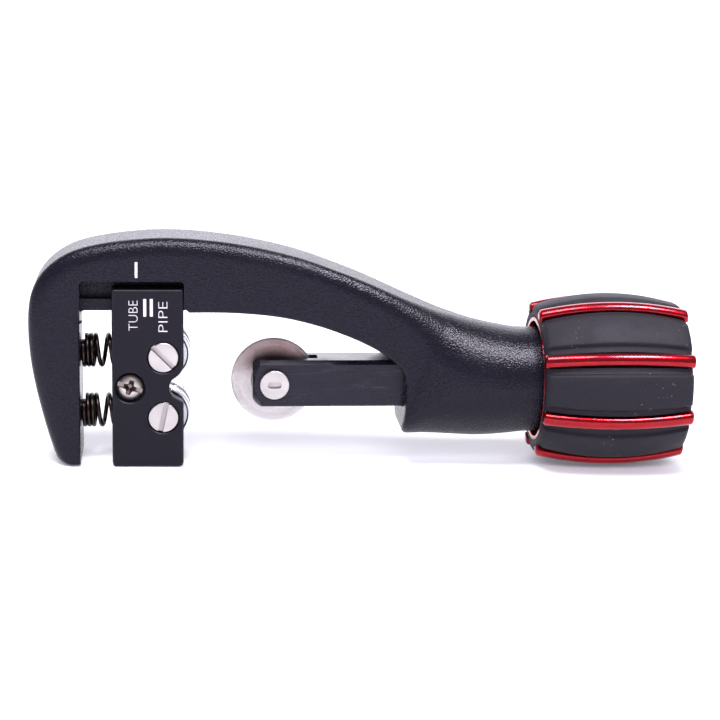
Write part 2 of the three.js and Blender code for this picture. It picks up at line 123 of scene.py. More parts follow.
class PipeCutterFinishes(bpy.types.PropertyGroup):
    """Colours of the finishes."""

    coat: bpy.props.FloatVectorProperty(
        name="Coat", description="Textured black coat of the casting",
        default=(0.0034, 0.0031, 0.0058), size=3, min=0, max=1, subtype="COLOR")
    carriage: bpy.props.FloatVectorProperty(
        name="Carriage", description="Satin black of the carriage and the slide",
        default=(0.0038, 0.0034, 0.0060), size=3, min=0, max=1, subtype="COLOR")
    rubber: bpy.props.FloatVectorProperty(
        name="Rubber", description="Grip rubber on the knob",
        default=(0.0090, 0.0082, 0.0118), size=3, min=0, max=1, subtype="COLOR")
    ribs: bpy.props.FloatVectorProperty(
        name="Ribs", description="Anodised red of the knob's ribs",
        default=(0.36, 0.002, 0.010), size=3, min=0, max=1, subtype="COLOR")
    marks: bpy.props.FloatVectorProperty(
        name="Marks", description="Printed marks", default=(0.58, 0.55, 0.60), size=3,
        min=0, max=1, subtype="COLOR")


class PipeCutterStudio(bpy.types.PropertyGroup):
    """Camera and light."""

    azimuth: bpy.props.FloatProperty(
        name="Azimuth", description="Camera's turn round the cutter",
        default=math.radians(-5.4), subtype="ANGLE", unit="ROTATION")
    elevation: bpy.props.FloatProperty(
        name="Elevation", description="Camera's height above the horizon",
        default=math.radians(12.0), subtype="ANGLE", unit="ROTATION")
    roll: bpy.props.FloatProperty(
        name="Roll", description="Camera's turn about its own line of sight",
        default=math.radians(1.0), subtype="ANGLE", unit="ROTATION")
    distance: bpy.props.FloatProperty(
        name="Distance", description="Camera's distance from the point it looks at",
        default=0.430, min=0.1, subtype="DISTANCE", unit="LENGTH")
    lens: bpy.props.FloatProperty(
        name="Lens", description="Focal length in millimetres, on a 36 mm sensor", default=100.85, min=10)
    sky: bpy.props.FloatProperty(
        name="Sky", description="Strength of the even light from all round", default=0.50, min=0)
    lamp: bpy.props.FloatProperty(
        name="Softbox", description="Brightness of the softbox above the front", default=20.0, min=0)
    backdrop: bpy.props.FloatProperty(
        name="Backdrop", description="Brightness of the lit wall behind", default=1.95, min=0)


# ---------------------------------------------------------------- surfaces


def quads(rows, cols, wrap_rows=False, wrap_cols=False):
    """Quads between the neighbouring points of a rows by cols grid, joined round where it wraps."""
    row, col = np.meshgrid(
        np.arange(rows if wrap_rows else rows - 1), np.arange(cols if wrap_cols else cols - 1), indexing="ij")
    next_row, next_col = (row + 1) % rows, (col + 1) % cols
    corners = [row * cols + col, row * cols + next_col, next_row * cols + next_col, next_row * cols + col]
    return np.stack(corners, axis=-1).reshape(-1, 4)


def closed_mesh(name, points, faces, caps=()):
    """A mesh in metres from points in millimetres, with its doubles merged and its faces outwards."""
    place = np.asarray(points, float).reshape(-1, 3) * MM
    place[:, 2] += AXIS_HEIGHT * MM
    mesh = bpy.data.meshes.new(name)
    mesh.from_pydata(place.tolist(), [], [*faces.tolist(), *[list(cap) for cap in caps]])
    work = bmesh.new()
    work.from_mesh(mesh)
    bmesh.ops.remove_doubles(work, verts=work.verts, dist=1e-7)
    bmesh.ops.dissolve_degenerate(work, dist=1e-8, edges=work.edges)
    bmesh.ops.recalc_face_normals(work, faces=work.faces)
    work.to_mesh(mesh)
    work.free()
    return mesh


def loft(name, rows):
    """A skin over closed sections: rows is a grid of points, sections by points, capped at both ends."""
    count, around = rows.shape[:2]
    caps = (np.arange(around)[::-1], np.arange(around) + (count - 1) * around)
    return closed_mesh(name, rows, quads(count, around, wrap_cols=True), caps)


def rounded(corners, radius, steps=5, closed=True):
    """A polyline with each corner p replaced by the curve (1-t)^2 a + 2t(1-t) p + t^2 b, where a and b lie on
    the corner's two edges at radius from it, or at 48% of the edge if that is less."""
    p = np.asarray(corners, float)
    before, after = np.roll(p, 1, axis=0), np.roll(p, -1, axis=0)
    if not closed:
        before[0], after[-1] = p[0], p[-1]
    to_before, to_after = before - p, after - p
    length_before = np.linalg.norm(to_before, axis=1)
    length_after = np.linalg.norm(to_after, axis=1)
    reach = np.minimum(np.broadcast_to(radius, len(p)), 0.48 * np.minimum(length_before, length_after))
    a = p + to_before * (reach / np.maximum(length_before, 1e-9))[:, None]
    b = p + to_after * (reach / np.maximum(length_after, 1e-9))[:, None]
    t = np.linspace(0, 1, steps + 1)[None, :, None]
    curve = ((1 - t) ** 2 * a[:, None] + 2 * t * (1 - t) * p[:, None] + t**2 * b[:, None]).reshape(-1, 2)
    apart = np.linalg.norm(curve - np.roll(curve, 1, axis=0), axis=1) > 1e-5
    if not closed:
        apart[0] = True
    return curve[apart]


def rectangle(x0, x1, z0, z1, radius=0.0, steps=5):
    """A rectangle in x and z with rounded corners, counter-clockwise."""
    return rounded([(x0, z0), (x1, z0), (x1, z1), (x0, z1)], radius, steps)


def outward_normals(outline):
    """At each point of a counter-clockwise outline, the sum of its two edges' normals divided by one plus
    their dot product, so that a parallel outline keeps its distance at corners."""
    edge = np.roll(outline, -1, axis=0) - outline
    edge /= np.linalg.norm(edge, axis=1)[:, None]
    normal = np.stack([edge[:, 1], -edge[:, 0]], axis=1)
    previous = np.roll(normal, 1, axis=0)
    share = 1 + np.sum(normal * previous, axis=1)
    return (normal + previous) / np.maximum(share, 0.4)[:, None]


def slab(name, outline, low, high, edge=0.0, steps=4):
    """An outline in x and z carried across from y = low to y = high. Over the last edge millimetres at
    either side it is drawn in by edge * (1 - sin a) as y moves by edge * (1 - cos a)."""
    turn = np.linspace(0, math.pi / 2, steps + 1) if edge > 0 else np.array([math.pi / 2])
    inset = edge * (1 - np.sin(turn))
    across = edge * (1 - np.cos(turn)) if edge > 0 else np.zeros(1)
    y = np.concatenate([low + across, (high - across)[::-1]])
    drawn = np.concatenate([inset, inset[::-1]])
    flat = outline[None] - outward_normals(outline)[None] * drawn[:, None, None]
    rows = np.stack([flat[..., 0], np.broadcast_to(y[:, None], flat.shape[:2]), flat[..., 1]], axis=-1)
    return loft(name, rows)


def turned(name, profile, along="X", x=0.0, z=0.0, segments=96, ring=False):
    """A profile of (radius, station) points turned about the X axis, or about the line along Y through
    x and z. It starts and ends on the axis, or closes on itself as a ring."""
    profile = np.asarray(profile, float)
    angle = np.linspace(0, FULL_TURN, segments, endpoint=False)
    radius, station = profile[:, :1], np.broadcast_to(profile[:, 1:], (len(profile), segments))
    wide, tall = radius * np.cos(angle), radius * np.sin(angle)
    if along == "X":
        points = np.stack([station + x, wide, tall + z], axis=-1)
    else:
        points = np.stack([wide + x, station, tall + z], axis=-1)
    return closed_mesh(name, points, quads(len(profile), segments, wrap_rows=ring, wrap_cols=True))


def box(name, x0, x1, y0, y1, z0, z1):
    """A square-edged cutter."""
    return slab(name, rectangle(x0, x1, z0, z1, 0.0, 0), y0, y1)


def catmull(points, samples):
    """A curve through points: between b and c it is b + t(c-a)/2 + t^2(a - 5b/2 + 2c - d/2)
    + t^3(-a + 3b - 3c + d)/2, where a and d are the points before b and after c."""
    p = np.asarray(points, float)
    padded = np.concatenate([[2 * p[0] - p[1]], p, [2 * p[-1] - p[-2]]])
    a, b, c, d = (padded[k:k + len(p) - 1][:, None] for k in range(4))
    t = (np.arange(samples) / samples)[None, :, None]
    curve = b + t * (c - a) / 2 + t**2 * (a - 2.5 * b + 2 * c - d / 2) + t**3 * (-a + 3 * b - 3 * c + d) / 2
    return np.concatenate([curve.reshape(-1, p.shape[1]), p[-1:]])


def soften(rows, passes):
    """Rows averaged with their neighbours, a quarter from each side at every pass; the ends stay."""
    for _ in range(passes):
        rows[1:-1] = rows[1:-1] / 2 + (rows[:-2] + rows[2:]) / 4
    return rows


def combined(mesh, others, operation):
    """The mesh less, joined with or shared with each of the others."""
    scene = bpy.context.scene.collection
    body = bpy.data.objects.new("work", mesh)
    scene.objects.link(body)
    tools = []
    for other in others:
        tool = bpy.data.objects.new("tool", other)
        scene.objects.link(tool)
        tools.append(tool)
        step = body.modifiers.new("step", "BOOLEAN")
        step.operation, step.solver, step.object = operation, "EXACT", tool
    bpy.context.view_layer.update()
    result = bpy.data.meshes.new_from_object(body.evaluated_get(bpy.context.evaluated_depsgraph_get()))
    result.name = mesh.name
    for spent in [body, *tools]:
        bpy.data.objects.remove(spent)
    if not result.polygons:
        raise RuntimeError(f"nothing is left of {mesh.name} after {operation.lower()}")
    return result


def cut(mesh, *tools):
    return combined(mesh, tools, "DIFFERENCE")


def joined(mesh, *others):
    return combined(mesh, others, "UNION")


def translated(mesh, y):
    """Moves a mesh along Y by millimetres."""
    mesh.transform(Matrix.Translation((0, y * MM, 0)))
    return mesh


def turned_mesh(mesh, angle, x, z):
    """Turns a mesh about the line along Y through x and z."""
    centre = Vector((x, 0, z + AXIS_HEIGHT)) * MM
    mesh.transform(Matrix.Translation(centre) @ Matrix.Rotation(angle, 4, "Y") @ Matrix.Translation(-centre))
    return mesh


def fit_piece(name, mesh, body, material, finish, *nodes, crease=32.0, even=False):
    """Puts a finished mesh in the scene as a piece that rides on a body and stands for CAD nodes."""
    mesh.shade_smooth()
    mesh.set_sharp_from_angle(angle=math.radians(crease))
    mesh.materials.clear()
    mesh.materials.append(material)
    piece = bpy.data.objects.new(name, mesh)
    bpy.context.scene.collection.objects.link(piece)
    if even:
        shading = piece.modifiers.new("even shading", "WEIGHTED_NORMAL")
        shading.keep_sharp = True
        shading.weight = 100
    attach(piece, body)
    if nodes:
        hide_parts(*nodes)
    return piece


# ---------------------------------------------------------------- shader groups and finishes


def feed(tree, socket, value):
    """Links a socket to another, or sets its value."""
    if isinstance(value, bpy.types.NodeSocket):
        tree.links.new(value, socket)
    elif isinstance(value, tuple) and len(value) == 3 and socket.type == "RGBA":
        socket.default_value = (*value, 1.0)
    else:
        socket.default_value = value


def put(tree, kind, inputs=None, **settings):
    """Adds a node with its settings and inputs."""
    made = tree.nodes.new(kind)
    for name, value in settings.items():
        setattr(made, name, value)
    for name, value in (inputs or {}).items():
        feed(tree, made.inputs[name], value)
    return made


def blend_colours(tree, share, first, second):
    made = put(tree, "ShaderNodeMix", data_type="RGBA")
    for index, value in ((0, share), (6, first), (7, second)):
        feed(tree, made.inputs[index], value)
    return made.outputs[2]


def remap(tree, value, low, high, to_low, to_high):
    inputs = {"Value": value, "From Min": low, "From Max": high, "To Min": to_low, "To Max": to_high}
    return put(tree, "ShaderNodeMapRange", inputs).outputs[0]


def calculate(tree, operation, first, second=0.0):
    return put(tree, "ShaderNodeMath", {0: first, 1: second}, operation=operation).outputs[0]


def product(tree, first, second):
    return calculate(tree, "MULTIPLY", first, second)


def noise(tree, vector, scale, detail=3.0, roughness=0.55):
    inputs = {"Vector": vector, "Scale": scale, "Detail": detail, "Roughness": roughness}
    return put(tree, "ShaderNodeTexNoise", inputs).outputs["Fac"]


def stretched(tree, vector, scale):
    return put(tree, "ShaderNodeMapping", {"Vector": vector, "Scale": scale}).outputs[0]


def shader_group(name, inputs, outputs):
    """A new node group with float inputs, a vector input first, and named outputs."""
    group = bpy.data.node_groups.new(name, "ShaderNodeTree")
    group.interface.new_socket("Vector", in_out="INPUT", socket_type="NodeSocketVector")
    for label, default in inputs:
        socket = group.interface.new_socket(label, in_out="INPUT", socket_type="NodeSocketFloat")
        socket.default_value = default
    for label in outputs:
        group.interface.new_socket(label, in_out="OUTPUT", socket_type="NodeSocketFloat")
    return group, group.nodes.new("NodeGroupInput").outputs, group.nodes.new("NodeGroupOutput").inputs


def cast_grain_group():
    """Height and shade of a wrinkled powder coat: blobs of one grain size over finer noise."""
    group, take, give = shader_group("Cast Grain", [("Grain", 1800.0)], ["Height", "Shade"])
    coarse = noise(group, take["Vector"], take["Grain"], 1.0, 0.5)
    blobs = put(group, "ShaderNodeTexVoronoi", {
        "Vector": take["Vector"], "Scale": take["Grain"],
        "Smoothness": 0.8}, feature="SMOOTH_F1").outputs["Distance"]
    fine = noise(group, take["Vector"], product(group, take["Grain"], 3.1), 2.0, 0.6)
    height = calculate(group, "ADD", product(group, coarse, 0.9), product(group, blobs, -0.2))
    height = calculate(group, "ADD", height, product(group, fine, 0.08))
    feed(group, give["Height"], height)
    feed(group, give["Shade"], remap(group, coarse, 0.35, 0.65, 0.0, 1.0))
    return group


def handling_group():
    """Masks of smudges and of the hair-fine rubs inside them, both zero on clean areas."""
    group, take, give = shader_group(
        "Handling Marks", [("Patch", 90.0), ("Hairs", 500.0)], ["Smudge", "Hair"])
    patches = remap(group, noise(group, take["Vector"], take["Patch"], 5.0, 0.6), 0.42, 0.68, 0.0, 1.0)
    feed(group, give["Smudge"], patches)
    lines = noise(group, stretched(group, take["Vector"], (0.09, 1.0, 1.0)), take["Hairs"], 2.0, 0.4)
    from_middle = calculate(group, "ABSOLUTE", calculate(group, "SUBTRACT", lines, 0.5))
    thin = remap(group, from_middle, 0.0, 0.008, 1.0, 0.0)
    feed(group, give["Hair"], product(group, thin, patches))
    return group


def box_edges_group():
    """A mask of a box's edges, broken up by noise, for a vector measured from the box's middle. The mask of
    each face falls from one to zero over the width; an edge is the product of two of them."""
    group, take, give = shader_group(
        "Box Edges", [("Wide", 0.02), ("Deep", 0.01), ("Tall", 0.01), ("Width", 0.0004)], ["Mask"])
    away = put(group, "ShaderNodeVectorMath", {"Vector": take["Vector"]}, operation="ABSOLUTE").outputs[0]
    parts = put(group, "ShaderNodeSeparateXYZ", {"Vector": away}).outputs
    x, y, z = (
        put(group, "ShaderNodeMapRange", {
            "Value": calculate(group, "SUBTRACT", take[half], parts[axis]), "From Min": take["Width"],
            "From Max": 0.0}).outputs[0]
        for half, axis in (("Wide", "X"), ("Deep", "Y"), ("Tall", "Z")))
    edge = calculate(group, "MAXIMUM", product(group, x, y), product(group, y, z))
    edge = calculate(group, "MAXIMUM", edge, product(group, x, z))
    broken = remap(group, noise(group, take["Vector"], 900.0, 4.0, 0.6), 0.35, 0.6, 0.0, 1.0)
    feed(group, give["Mask"], product(group, edge, broken))
    return group


def turning_group():
    """Height of the fine grooves that a lathe tool leaves, as rings about the Y axis of the vector."""
    group, take, give = shader_group("Turning Marks", [("Rings", 6000.0)], ["Height"])
    rings = put(group, "ShaderNodeTexWave", {
        "Vector": take["Vector"], "Scale": take["Rings"], "Distortion": 0.6, "Detail": 2.0,
        "Detail Scale": 1.0}, wave_type="RINGS", rings_direction="Y").outputs["Fac"]
    uneven = noise(group, take["Vector"], 1500.0, 3.0, 0.6)
    feed(group, give["Height"], product(group, rings, uneven))
    return group


def shared_group(name):
    """The shader group of that name, built the first time it is asked for."""
    makers = {"Cast Grain": cast_grain_group, "Handling Marks": handling_group,
              "Box Edges": box_edges_group, "Turning Marks": turning_group}
    return bpy.data.node_groups.get(name) or makers[name]()


def use_group(tree, name, vector, **values):
    made = tree.nodes.new("ShaderNodeGroup")
    made.node_tree = shared_group(name)
    feed(tree, made.inputs["Vector"], vector)
    for label, value in values.items():
        made.inputs[label].default_value = value
    return made.outputs


def start_finish(name, **sockets):
    """A new material with its shader's own sockets set, and its object coordinates."""
    material = bpy.data.materials.new(name)
    material.use_nodes = True
    tree = material.node_tree
    shader = tree.nodes["Principled BSDF"]
    for label, value in sockets.items():
        feed(tree, shader.inputs[label.replace("_", " ")], value)
    return material, tree, shader, tree.nodes.new("ShaderNodeTexCoord").outputs["Object"]


def raise_surface(tree, shader, height, distance, strength=1.0):
    """Feeds a bump of that distance, in metres, to the shader's normal."""
    bump = put(tree, "ShaderNodeBump", {"Height": height, "Distance": distance, "Strength": strength})
    feed(tree, shader.inputs["Normal"], bump.outputs[0])


def lighter(colour, factor):
    return tuple(min(1.0, channel * factor) for channel in colour)


def worn_edges(tree, place, *nodes):
    """The Box Edges mask of the box round some CAD nodes."""
    corners = np.array([span(node) for node in nodes])
    low, high = corners[:, 0].min(axis=0), corners[:, 1].max(axis=0)
    middle_point, half = (low + high) / 2 * MM, (high - low) / 2 * MM
    middle_point[2] += AXIS_HEIGHT * MM
    centred = put(tree, "ShaderNodeMapping", {"Vector": place, "Location": tuple(-middle_point)}).outputs[0]
    edges = use_group(tree, "Box Edges", centred, Wide=half[0], Deep=half[1], Tall=half[2], Width=0.0005)
    return edges["Mask"]


def textured_coat():
    """Wrinkled black powder coat, a little lighter on its grains."""
    base = tuple(bpy.context.scene.cutter_finishes.coat)
    grain = 1.0 / bpy.context.scene.cutter_sizes.coat_grain
    material, tree, shader, place = start_finish(
        "textured black coat", Specular_IOR_Level=0.21, Specular_Tint=SHEEN)
    cast = use_group(tree, "Cast Grain", place, Grain=grain)
    marks = use_group(tree, "Handling Marks", place, Patch=70.0, Hairs=420.0)
    colour = blend_colours(tree, cast["Shade"], base, lighter(base, 1.9))
    feed(tree, shader.inputs["Base Color"], colour)
    rough = remap(tree, marks["Smudge"], 0.0, 1.0, 0.27, 0.35)
    rough = calculate(tree, "SUBTRACT", rough, product(tree, cast["Shade"], 0.08))
    feed(tree, shader.inputs["Roughness"], rough)
    raise_surface(tree, shader, cast["Height"], 0.00012)
    return material


def satin_black():
    """Smooth satin black with a fine tooth, faint rubs and slightly bright edges."""
    base = tuple(bpy.context.scene.cutter_finishes.carriage)
    material, tree, shader, place = start_finish("satin black", Specular_IOR_Level=0.20, Specular_Tint=SHEEN)
    marks = use_group(tree, "Handling Marks", place, Patch=160.0, Hairs=380.0)
    rub = worn_edges(tree, place, "carriage_near_half", "carriage_far_half")
    tooth = noise(tree, place, 3800.0, 3.0, 0.6)
    colour = blend_colours(tree, remap(tree, tooth, 0.4, 0.6, 0.0, 0.6), base, lighter(base, 1.5))
    colour = blend_colours(tree, product(tree, rub, 0.25), colour, (0.07, 0.07, 0.08))
    colour = blend_colours(tree, product(tree, marks["Hair"], 0.02), colour, (0.04, 0.04, 0.045))
    feed(tree, shader.inputs["Base Color"], colour)
    feed(tree, shader.inputs["Roughness"], remap(tree, marks["Smudge"], 0.0, 1.0, 0.40, 0.45))
    raise_surface(tree, shader, tooth, 0.000018)
    return material


def black_oxide():
    """Ground steel under black oxide: smooth, with lengthways grinding and a few bright rubs."""
    base = tuple(bpy.context.scene.cutter_finishes.carriage)
    material, tree, shader, place = start_finish("black oxide", Specular_IOR_Level=0.28, Specular_Tint=SHEEN)
    grain = noise(tree, stretched(tree, place, (0.08, 1.0, 1.0)), 3000.0, 3.0, 0.6)
    marks = use_group(tree, "Handling Marks", place, Patch=120.0, Hairs=260.0)
    rub = worn_edges(tree, place, "slide_bar")
    colour = blend_colours(tree, remap(tree, grain, 0.35, 0.65, 0.0, 1.0), base, lighter(base, 2.2))
    colour = blend_colours(tree, product(tree, marks["Smudge"], 0.5), colour, lighter(base, 3.0))
    colour = blend_colours(tree, product(tree, marks["Hair"], 0.3), colour, (0.10, 0.10, 0.11))
    colour = blend_colours(tree, product(tree, rub, 0.16), colour, (0.14, 0.14, 0.15))
    feed(tree, shader.inputs["Base Color"], colour)
    feed(tree, shader.inputs["Roughness"], remap(tree, marks["Smudge"], 0.0, 1.0, 0.24, 0.36))
    raise_surface(tree, shader, grain, 0.000008)
    return material


def wheel_steel():
    """Ring-ground tool steel, browner towards its top as a painted reflection, with brown oil smudges,
    painted shade near the hub just above the slide's top edge, and a lighter edge.
    """
    material, tree, shader, place = start_finish("ground wheel steel", Metallic=1.0)
    x, _, z = middle("cutter_wheel")
    centre = (-x * MM, 0.0, -(z + AXIS_HEIGHT) * MM)
    centred = put(tree, "ShaderNodeMapping", {"Vector": place, "Location": centre}).outputs[0]
    lathe = use_group(tree, "Turning Marks", centred, Rings=2600.0)["Height"]
    marks = use_group(tree, "Handling Marks", place, Patch=220.0, Hairs=420.0)
    height = put(tree, "ShaderNodeSeparateXYZ", {"Vector": centred}).outputs["Z"]
    # painted reflection: the steel turns browner with height towards the top; the smudges below add real
    # brown oil
    oil_and_painted_reflection = remap(tree, height, -0.001, 0.0065, 0.0, 1.0)
    oil_and_painted_reflection = product(tree, oil_and_painted_reflection, remap(tree, marks["Smudge"], 0.0, 1.0, 0.7, 1.0))
    oil_and_painted_reflection = calculate(tree, "ADD", oil_and_painted_reflection, product(tree, marks["Smudge"], 0.14))
    shade = blend_colours(tree, oil_and_painted_reflection, (0.49, 0.465, 0.48), (0.33, 0.20, 0.19))
    radius = put(tree, "ShaderNodeVectorMath", {"Vector": centred}, operation="LENGTH").outputs["Value"]
    # painted shade: dark brown on the upper part near the hub, where the slide's top edge stands by the wheel
    inner = product(tree, remap(tree, radius, 0.0056, 0.0076, 1.0, 0.0),
                      remap(tree, height, 0.0022, 0.0045, 0.0, 1.0))
    shade = blend_colours(tree, inner, shade, (0.045, 0.018, 0.017))
    rings = remap(tree, noise(tree, put(tree, "ShaderNodeCombineXYZ", {"X": radius}).outputs[0], 1500.0, 2.0),
                  0.4, 0.6, 0.0, 0.22)
    shade = blend_colours(tree, rings, shade, (0.30, 0.28, 0.28))
    shade = blend_colours(tree, remap(tree, radius, 0.0082, 0.0087, 0.0, 0.5), shade, (0.55, 0.53, 0.54))
    shade = blend_colours(tree, product(tree, marks["Hair"], 0.4), shade, (0.75, 0.72, 0.72))
    feed(tree, shader.inputs["Base Color"], shade)
    feed(tree, shader.inputs["Roughness"], remap(tree, lathe, 0.1, 0.6, 0.26, 0.42))
    raise_surface(tree, shader, lathe, 0.000024)
    return material


def plated(name, colour, rough, turned_about, smudge=0.12, face=None, floor=0.0):
    """Bright plated metal with faint turning rings about the line along Y through turned_about. Below a face
    that looks along -Y, the recesses are painted dark brown down to their floor: painted shade, with old oil
    in it."""
    material, tree, shader, place = start_finish(name, Metallic=1.0)
    centre = tuple(-c * MM for c in (turned_about[0], 0.0, turned_about[2] + AXIS_HEIGHT))
    centred = put(tree, "ShaderNodeMapping", {"Vector": place, "Location": centre}).outputs[0]
    lathe = use_group(tree, "Turning Marks", centred, Rings=5200.0)["Height"]
    marks = use_group(tree, "Handling Marks", place, Patch=260.0, Hairs=700.0)
    oil_and_recess_shade = blend_colours(tree, product(tree, marks["Smudge"], 0.22), colour, lighter(colour, 0.7))
    if face is not None:
        depth = put(tree, "ShaderNodeSeparateXYZ", {"Vector": place}).outputs["Y"]
        bottom = face + floor
        below_face = remap(tree, depth, (face + 0.1) * MM, (face + 0.4) * MM, 0.0, 0.75)
        above_floor = remap(tree, depth, (bottom - 0.2) * MM, (bottom - 0.05) * MM, 1.0, 0.30)
        # painted shade: everything set back more than 0.1 mm behind the face turns dark brown, less so near
        # the floor, with some real oil in the tint
        oil_and_recess_shade = blend_colours(tree, product(tree, below_face, above_floor), oil_and_recess_shade, (0.15, 0.105, 0.09))
    feed(tree, shader.inputs["Base Color"], oil_and_recess_shade)
    feed(tree, shader.inputs["Roughness"], remap(tree, marks["Smudge"], 0.0, 1.0, rough, rough + smudge))
    scratched = calculate(tree, "ADD", lathe, product(tree, marks["Hair"], -0.6))
    raise_surface(tree, shader, scratched, 0.000004)
    return material


def drawn_steel(name, colour, rough, stretch=(0.12, 1.0, 1.0)):
    """Plain steel with a grain drawn along one direction, and darker stains."""
    material, tree, shader, place = start_finish(name, Metallic=1.0)
    grain = noise(tree, stretched(tree, place, stretch), 2600.0, 4.0, 0.65)
    marks = use_group(tree, "Handling Marks", place, Patch=300.0, Hairs=600.0)
    shade = blend_colours(tree, marks["Smudge"], colour, lighter(colour, 0.6))
    shade = blend_colours(tree, remap(tree, grain, 0.35, 0.65, 0.0, 0.5), shade, lighter(colour, 1.35))
    feed(tree, shader.inputs["Base Color"], shade)
    feed(tree, shader.inputs["Roughness"], remap(tree, grain, 0.3, 0.7, rough, rough + 0.16))
    raise_surface(tree, shader, grain, 0.000012)
    return material


def red_anodised():
    """Glossy red anodised aluminium with a fine drawn grain and small dull spots."""
    base = tuple(bpy.context.scene.cutter_finishes.ribs)
    material, tree, shader, place = start_finish(
        "red anodised", Metallic=1.0, Coat_Weight=0.45, Coat_Roughness=0.08)
    grain = noise(tree, stretched(tree, place, (0.1, 1.0, 1.0)), 1800.0, 3.0, 0.6)
    marks = use_group(tree, "Handling Marks", place, Patch=240.0, Hairs=500.0)
    shade = blend_colours(tree, remap(tree, grain, 0.35, 0.65, 0.0, 1.0), base, lighter(base, 0.72))
    shade = blend_colours(tree, product(tree, marks["Smudge"], 0.3), shade, lighter(base, 0.5))
    feed(tree, shader.inputs["Base Color"], shade)
    feed(tree, shader.inputs["Roughness"], remap(tree, marks["Smudge"], 0.0, 1.0, 0.20, 0.30))
    raise_surface(tree, shader, grain, 0.000003)
    return material


def grip_rubber():
    """Matt rubber with a spark-eroded skin, dusty in its hollows."""
    base = tuple(bpy.context.scene.cutter_finishes.rubber)
    material, tree, shader, place = start_finish("grip rubber", Specular_IOR_Level=0.25, Specular_Tint=SHEEN)
    skin = noise(tree, place, 2600.0, 5.0, 0.7)
    marks = use_group(tree, "Handling Marks", place, Patch=120.0, Hairs=300.0)
    tone = remap(tree, skin, 0.35, 0.65, 0.0, 1.0)
    shade = blend_colours(tree, tone, lighter(base, 0.8), lighter(base, 1.25))
    shade = blend_colours(tree, product(tree, marks["Smudge"], 0.35), shade, lighter(base, 1.6))
    specks = put(tree, "ShaderNodeTexVoronoi", {"Vector": place, "Scale": 900.0}).outputs["Distance"]
    specks = remap(tree, specks, 0.10, 0.22, 1.0, 0.0)
    patches = remap(tree, noise(tree, place, 130.0, 4.0, 0.6), 0.56, 0.66, 0.0, 1.0)
    dust = product(tree, specks, patches)
    shade = blend_colours(tree, product(tree, dust, 0.6), shade, (0.20, 0.19, 0.18))
    feed(tree, shader.inputs["Base Color"], shade)
    feed(tree, shader.inputs["Roughness"], remap(tree, marks["Smudge"], 0.0, 1.0, 0.56, 0.70))
    raise_surface(tree, shader, skin, 0.00009)
    return material


def printed_white():
    """White pad-printed ink, thin at its grains."""
    base = tuple(bpy.context.scene.cutter_finishes.marks)
    material, tree, shader, place = start_finish("printed white", Specular_IOR_Level=0.3)
    grain = noise(tree, place, 3000.0, 3.0, 0.6)
    feed(tree, shader.inputs["Base Color"],
         blend_colours(tree, remap(tree, grain, 0.55, 0.75, 0.0, 0.5), base, lighter(base, 0.5)))
    feed(tree, shader.inputs["Roughness"], remap(tree, grain, 0.3, 0.7, 0.45, 0.6))
    raise_surface(tree, shader, grain, 0.00001)
    return material


def nickel(node, floor):
    """The plating of a screw or pin whose slot or recess has its floor that deep."""
    face = span(node)[0][1]
    return plated(f"nickel of {node}", (0.51, 0.475, 0.485), 0.30, middle(node), face=face, floor=floor)


# ---------------------------------------------------------------- frame

# From the arm's tip, round the shoulder and along the beam to the neck's end: the inner edge and the outer
# edge of the casting as (x, z), paired so that the line between a pair crosses the casting squarely.
INNER_EDGE = [
    (-58.55, -16.3), (-58.55, -15.4), (-58.55, -13.2), (-58.55, -6.5), (-58.55, 3.0), (-58.55, 11.0),
    (-58.45, 15.0), (-58.0, 15.7), (-57.0, 15.8), (-55.0, 15.8), (-51.5, 15.8), (-45.0, 15.8), (-37.5, 15.8),
    (-28.0, 15.8), (-18.0, 15.0), (-9.9, 13.2), (-3.0, 10.8), (2.6, 8.2), (6.2, 5.8), (8.3, 3.9), (9.3, 1.2),
    (9.35, -2.5), (9.0, -6.5), (8.75, -9.1), (9.5, -10.5), (12.2, -10.9), (15.5, -11.3), (20.0, -11.8),
    (26.0, -12.05), (32.0, -11.65), (36.0, -11.25), (45.0, -11.2), (54.8, -11.2),
]
OUTER_EDGE = [
    (-61.9, -16.3), (-63.2, -15.5), (-64.2, -13.2), (-66.2, -6.5), (-68.3, 3.0), (-69.1, 11.0),
    (-68.85, 17.5), (-67.5, 21.8), (-65.0, 25.2), (-60.8, 28.1), (-55.0, 29.85), (-46.5, 31.0),
    (-37.8, 31.2), (-26.0, 30.0), (-14.0, 27.4), (-5.0, 24.3), (1.0, 21.95), (6.0, 19.75), (9.5, 18.2),
    (11.8, 17.25), (13.4, 16.6), (14.8, 16.05), (16.1, 15.55), (17.3, 15.15), (18.5, 14.8),
    (20.0, 14.35), (21.8, 13.8), (24.2, 13.15), (28.2, 12.2), (33.0, 11.35), (36.5, 11.2), (45.0, 11.2),
    (54.8, 11.2),
]
# Half width and edge rounding at some of those pairs: pair, half width, outer edge's rounding across and in
# the plane of the frame, inner edge's rounding across and in the plane.
SECTIONS = [
    (0, 8.5, 2.5, 2.4, 0.7, 0.7), (3, 8.5, 2.5, 3.8, 0.7, 0.7), (15, 8.5, 2.5, 3.8, 0.7, 0.7),
    (17, 8.55, 3.0, 4.3, 0.7, 0.7), (19, 8.8, 4.4, 5.6, 0.7, 0.7), (21, 9.1, 5.6, 7.2, 0.9, 0.9),
    (22.5, 9.4, 6.6, 8.2, 2.0, 2.2), (24, 9.9, 8.0, 10.0, 5.0, 6.0), (25.5, 10.5, 9.4, 11.2, 8.4, 10.2),
    (27, 11.1, 11.0, 12.1, 11.0, 12.1), (28, 11.4, 11.35, 11.8, 11.35, 11.8),
    (30, 11.2, 11.15, 11.15, 11.15, 11.15), (32, 11.2, 11.15, 11.15, 11.15, 11.15),
]


def corner_arc(across, rise, quadrant, steps):
    """A quarter of an ellipse with those half axes, from quadrant right angles on."""
    angle = (quadrant + np.linspace(0, 1, steps)) * math.pi / 2
    return across[:, None] * np.cos(angle), rise[:, None] * np.sin(angle)


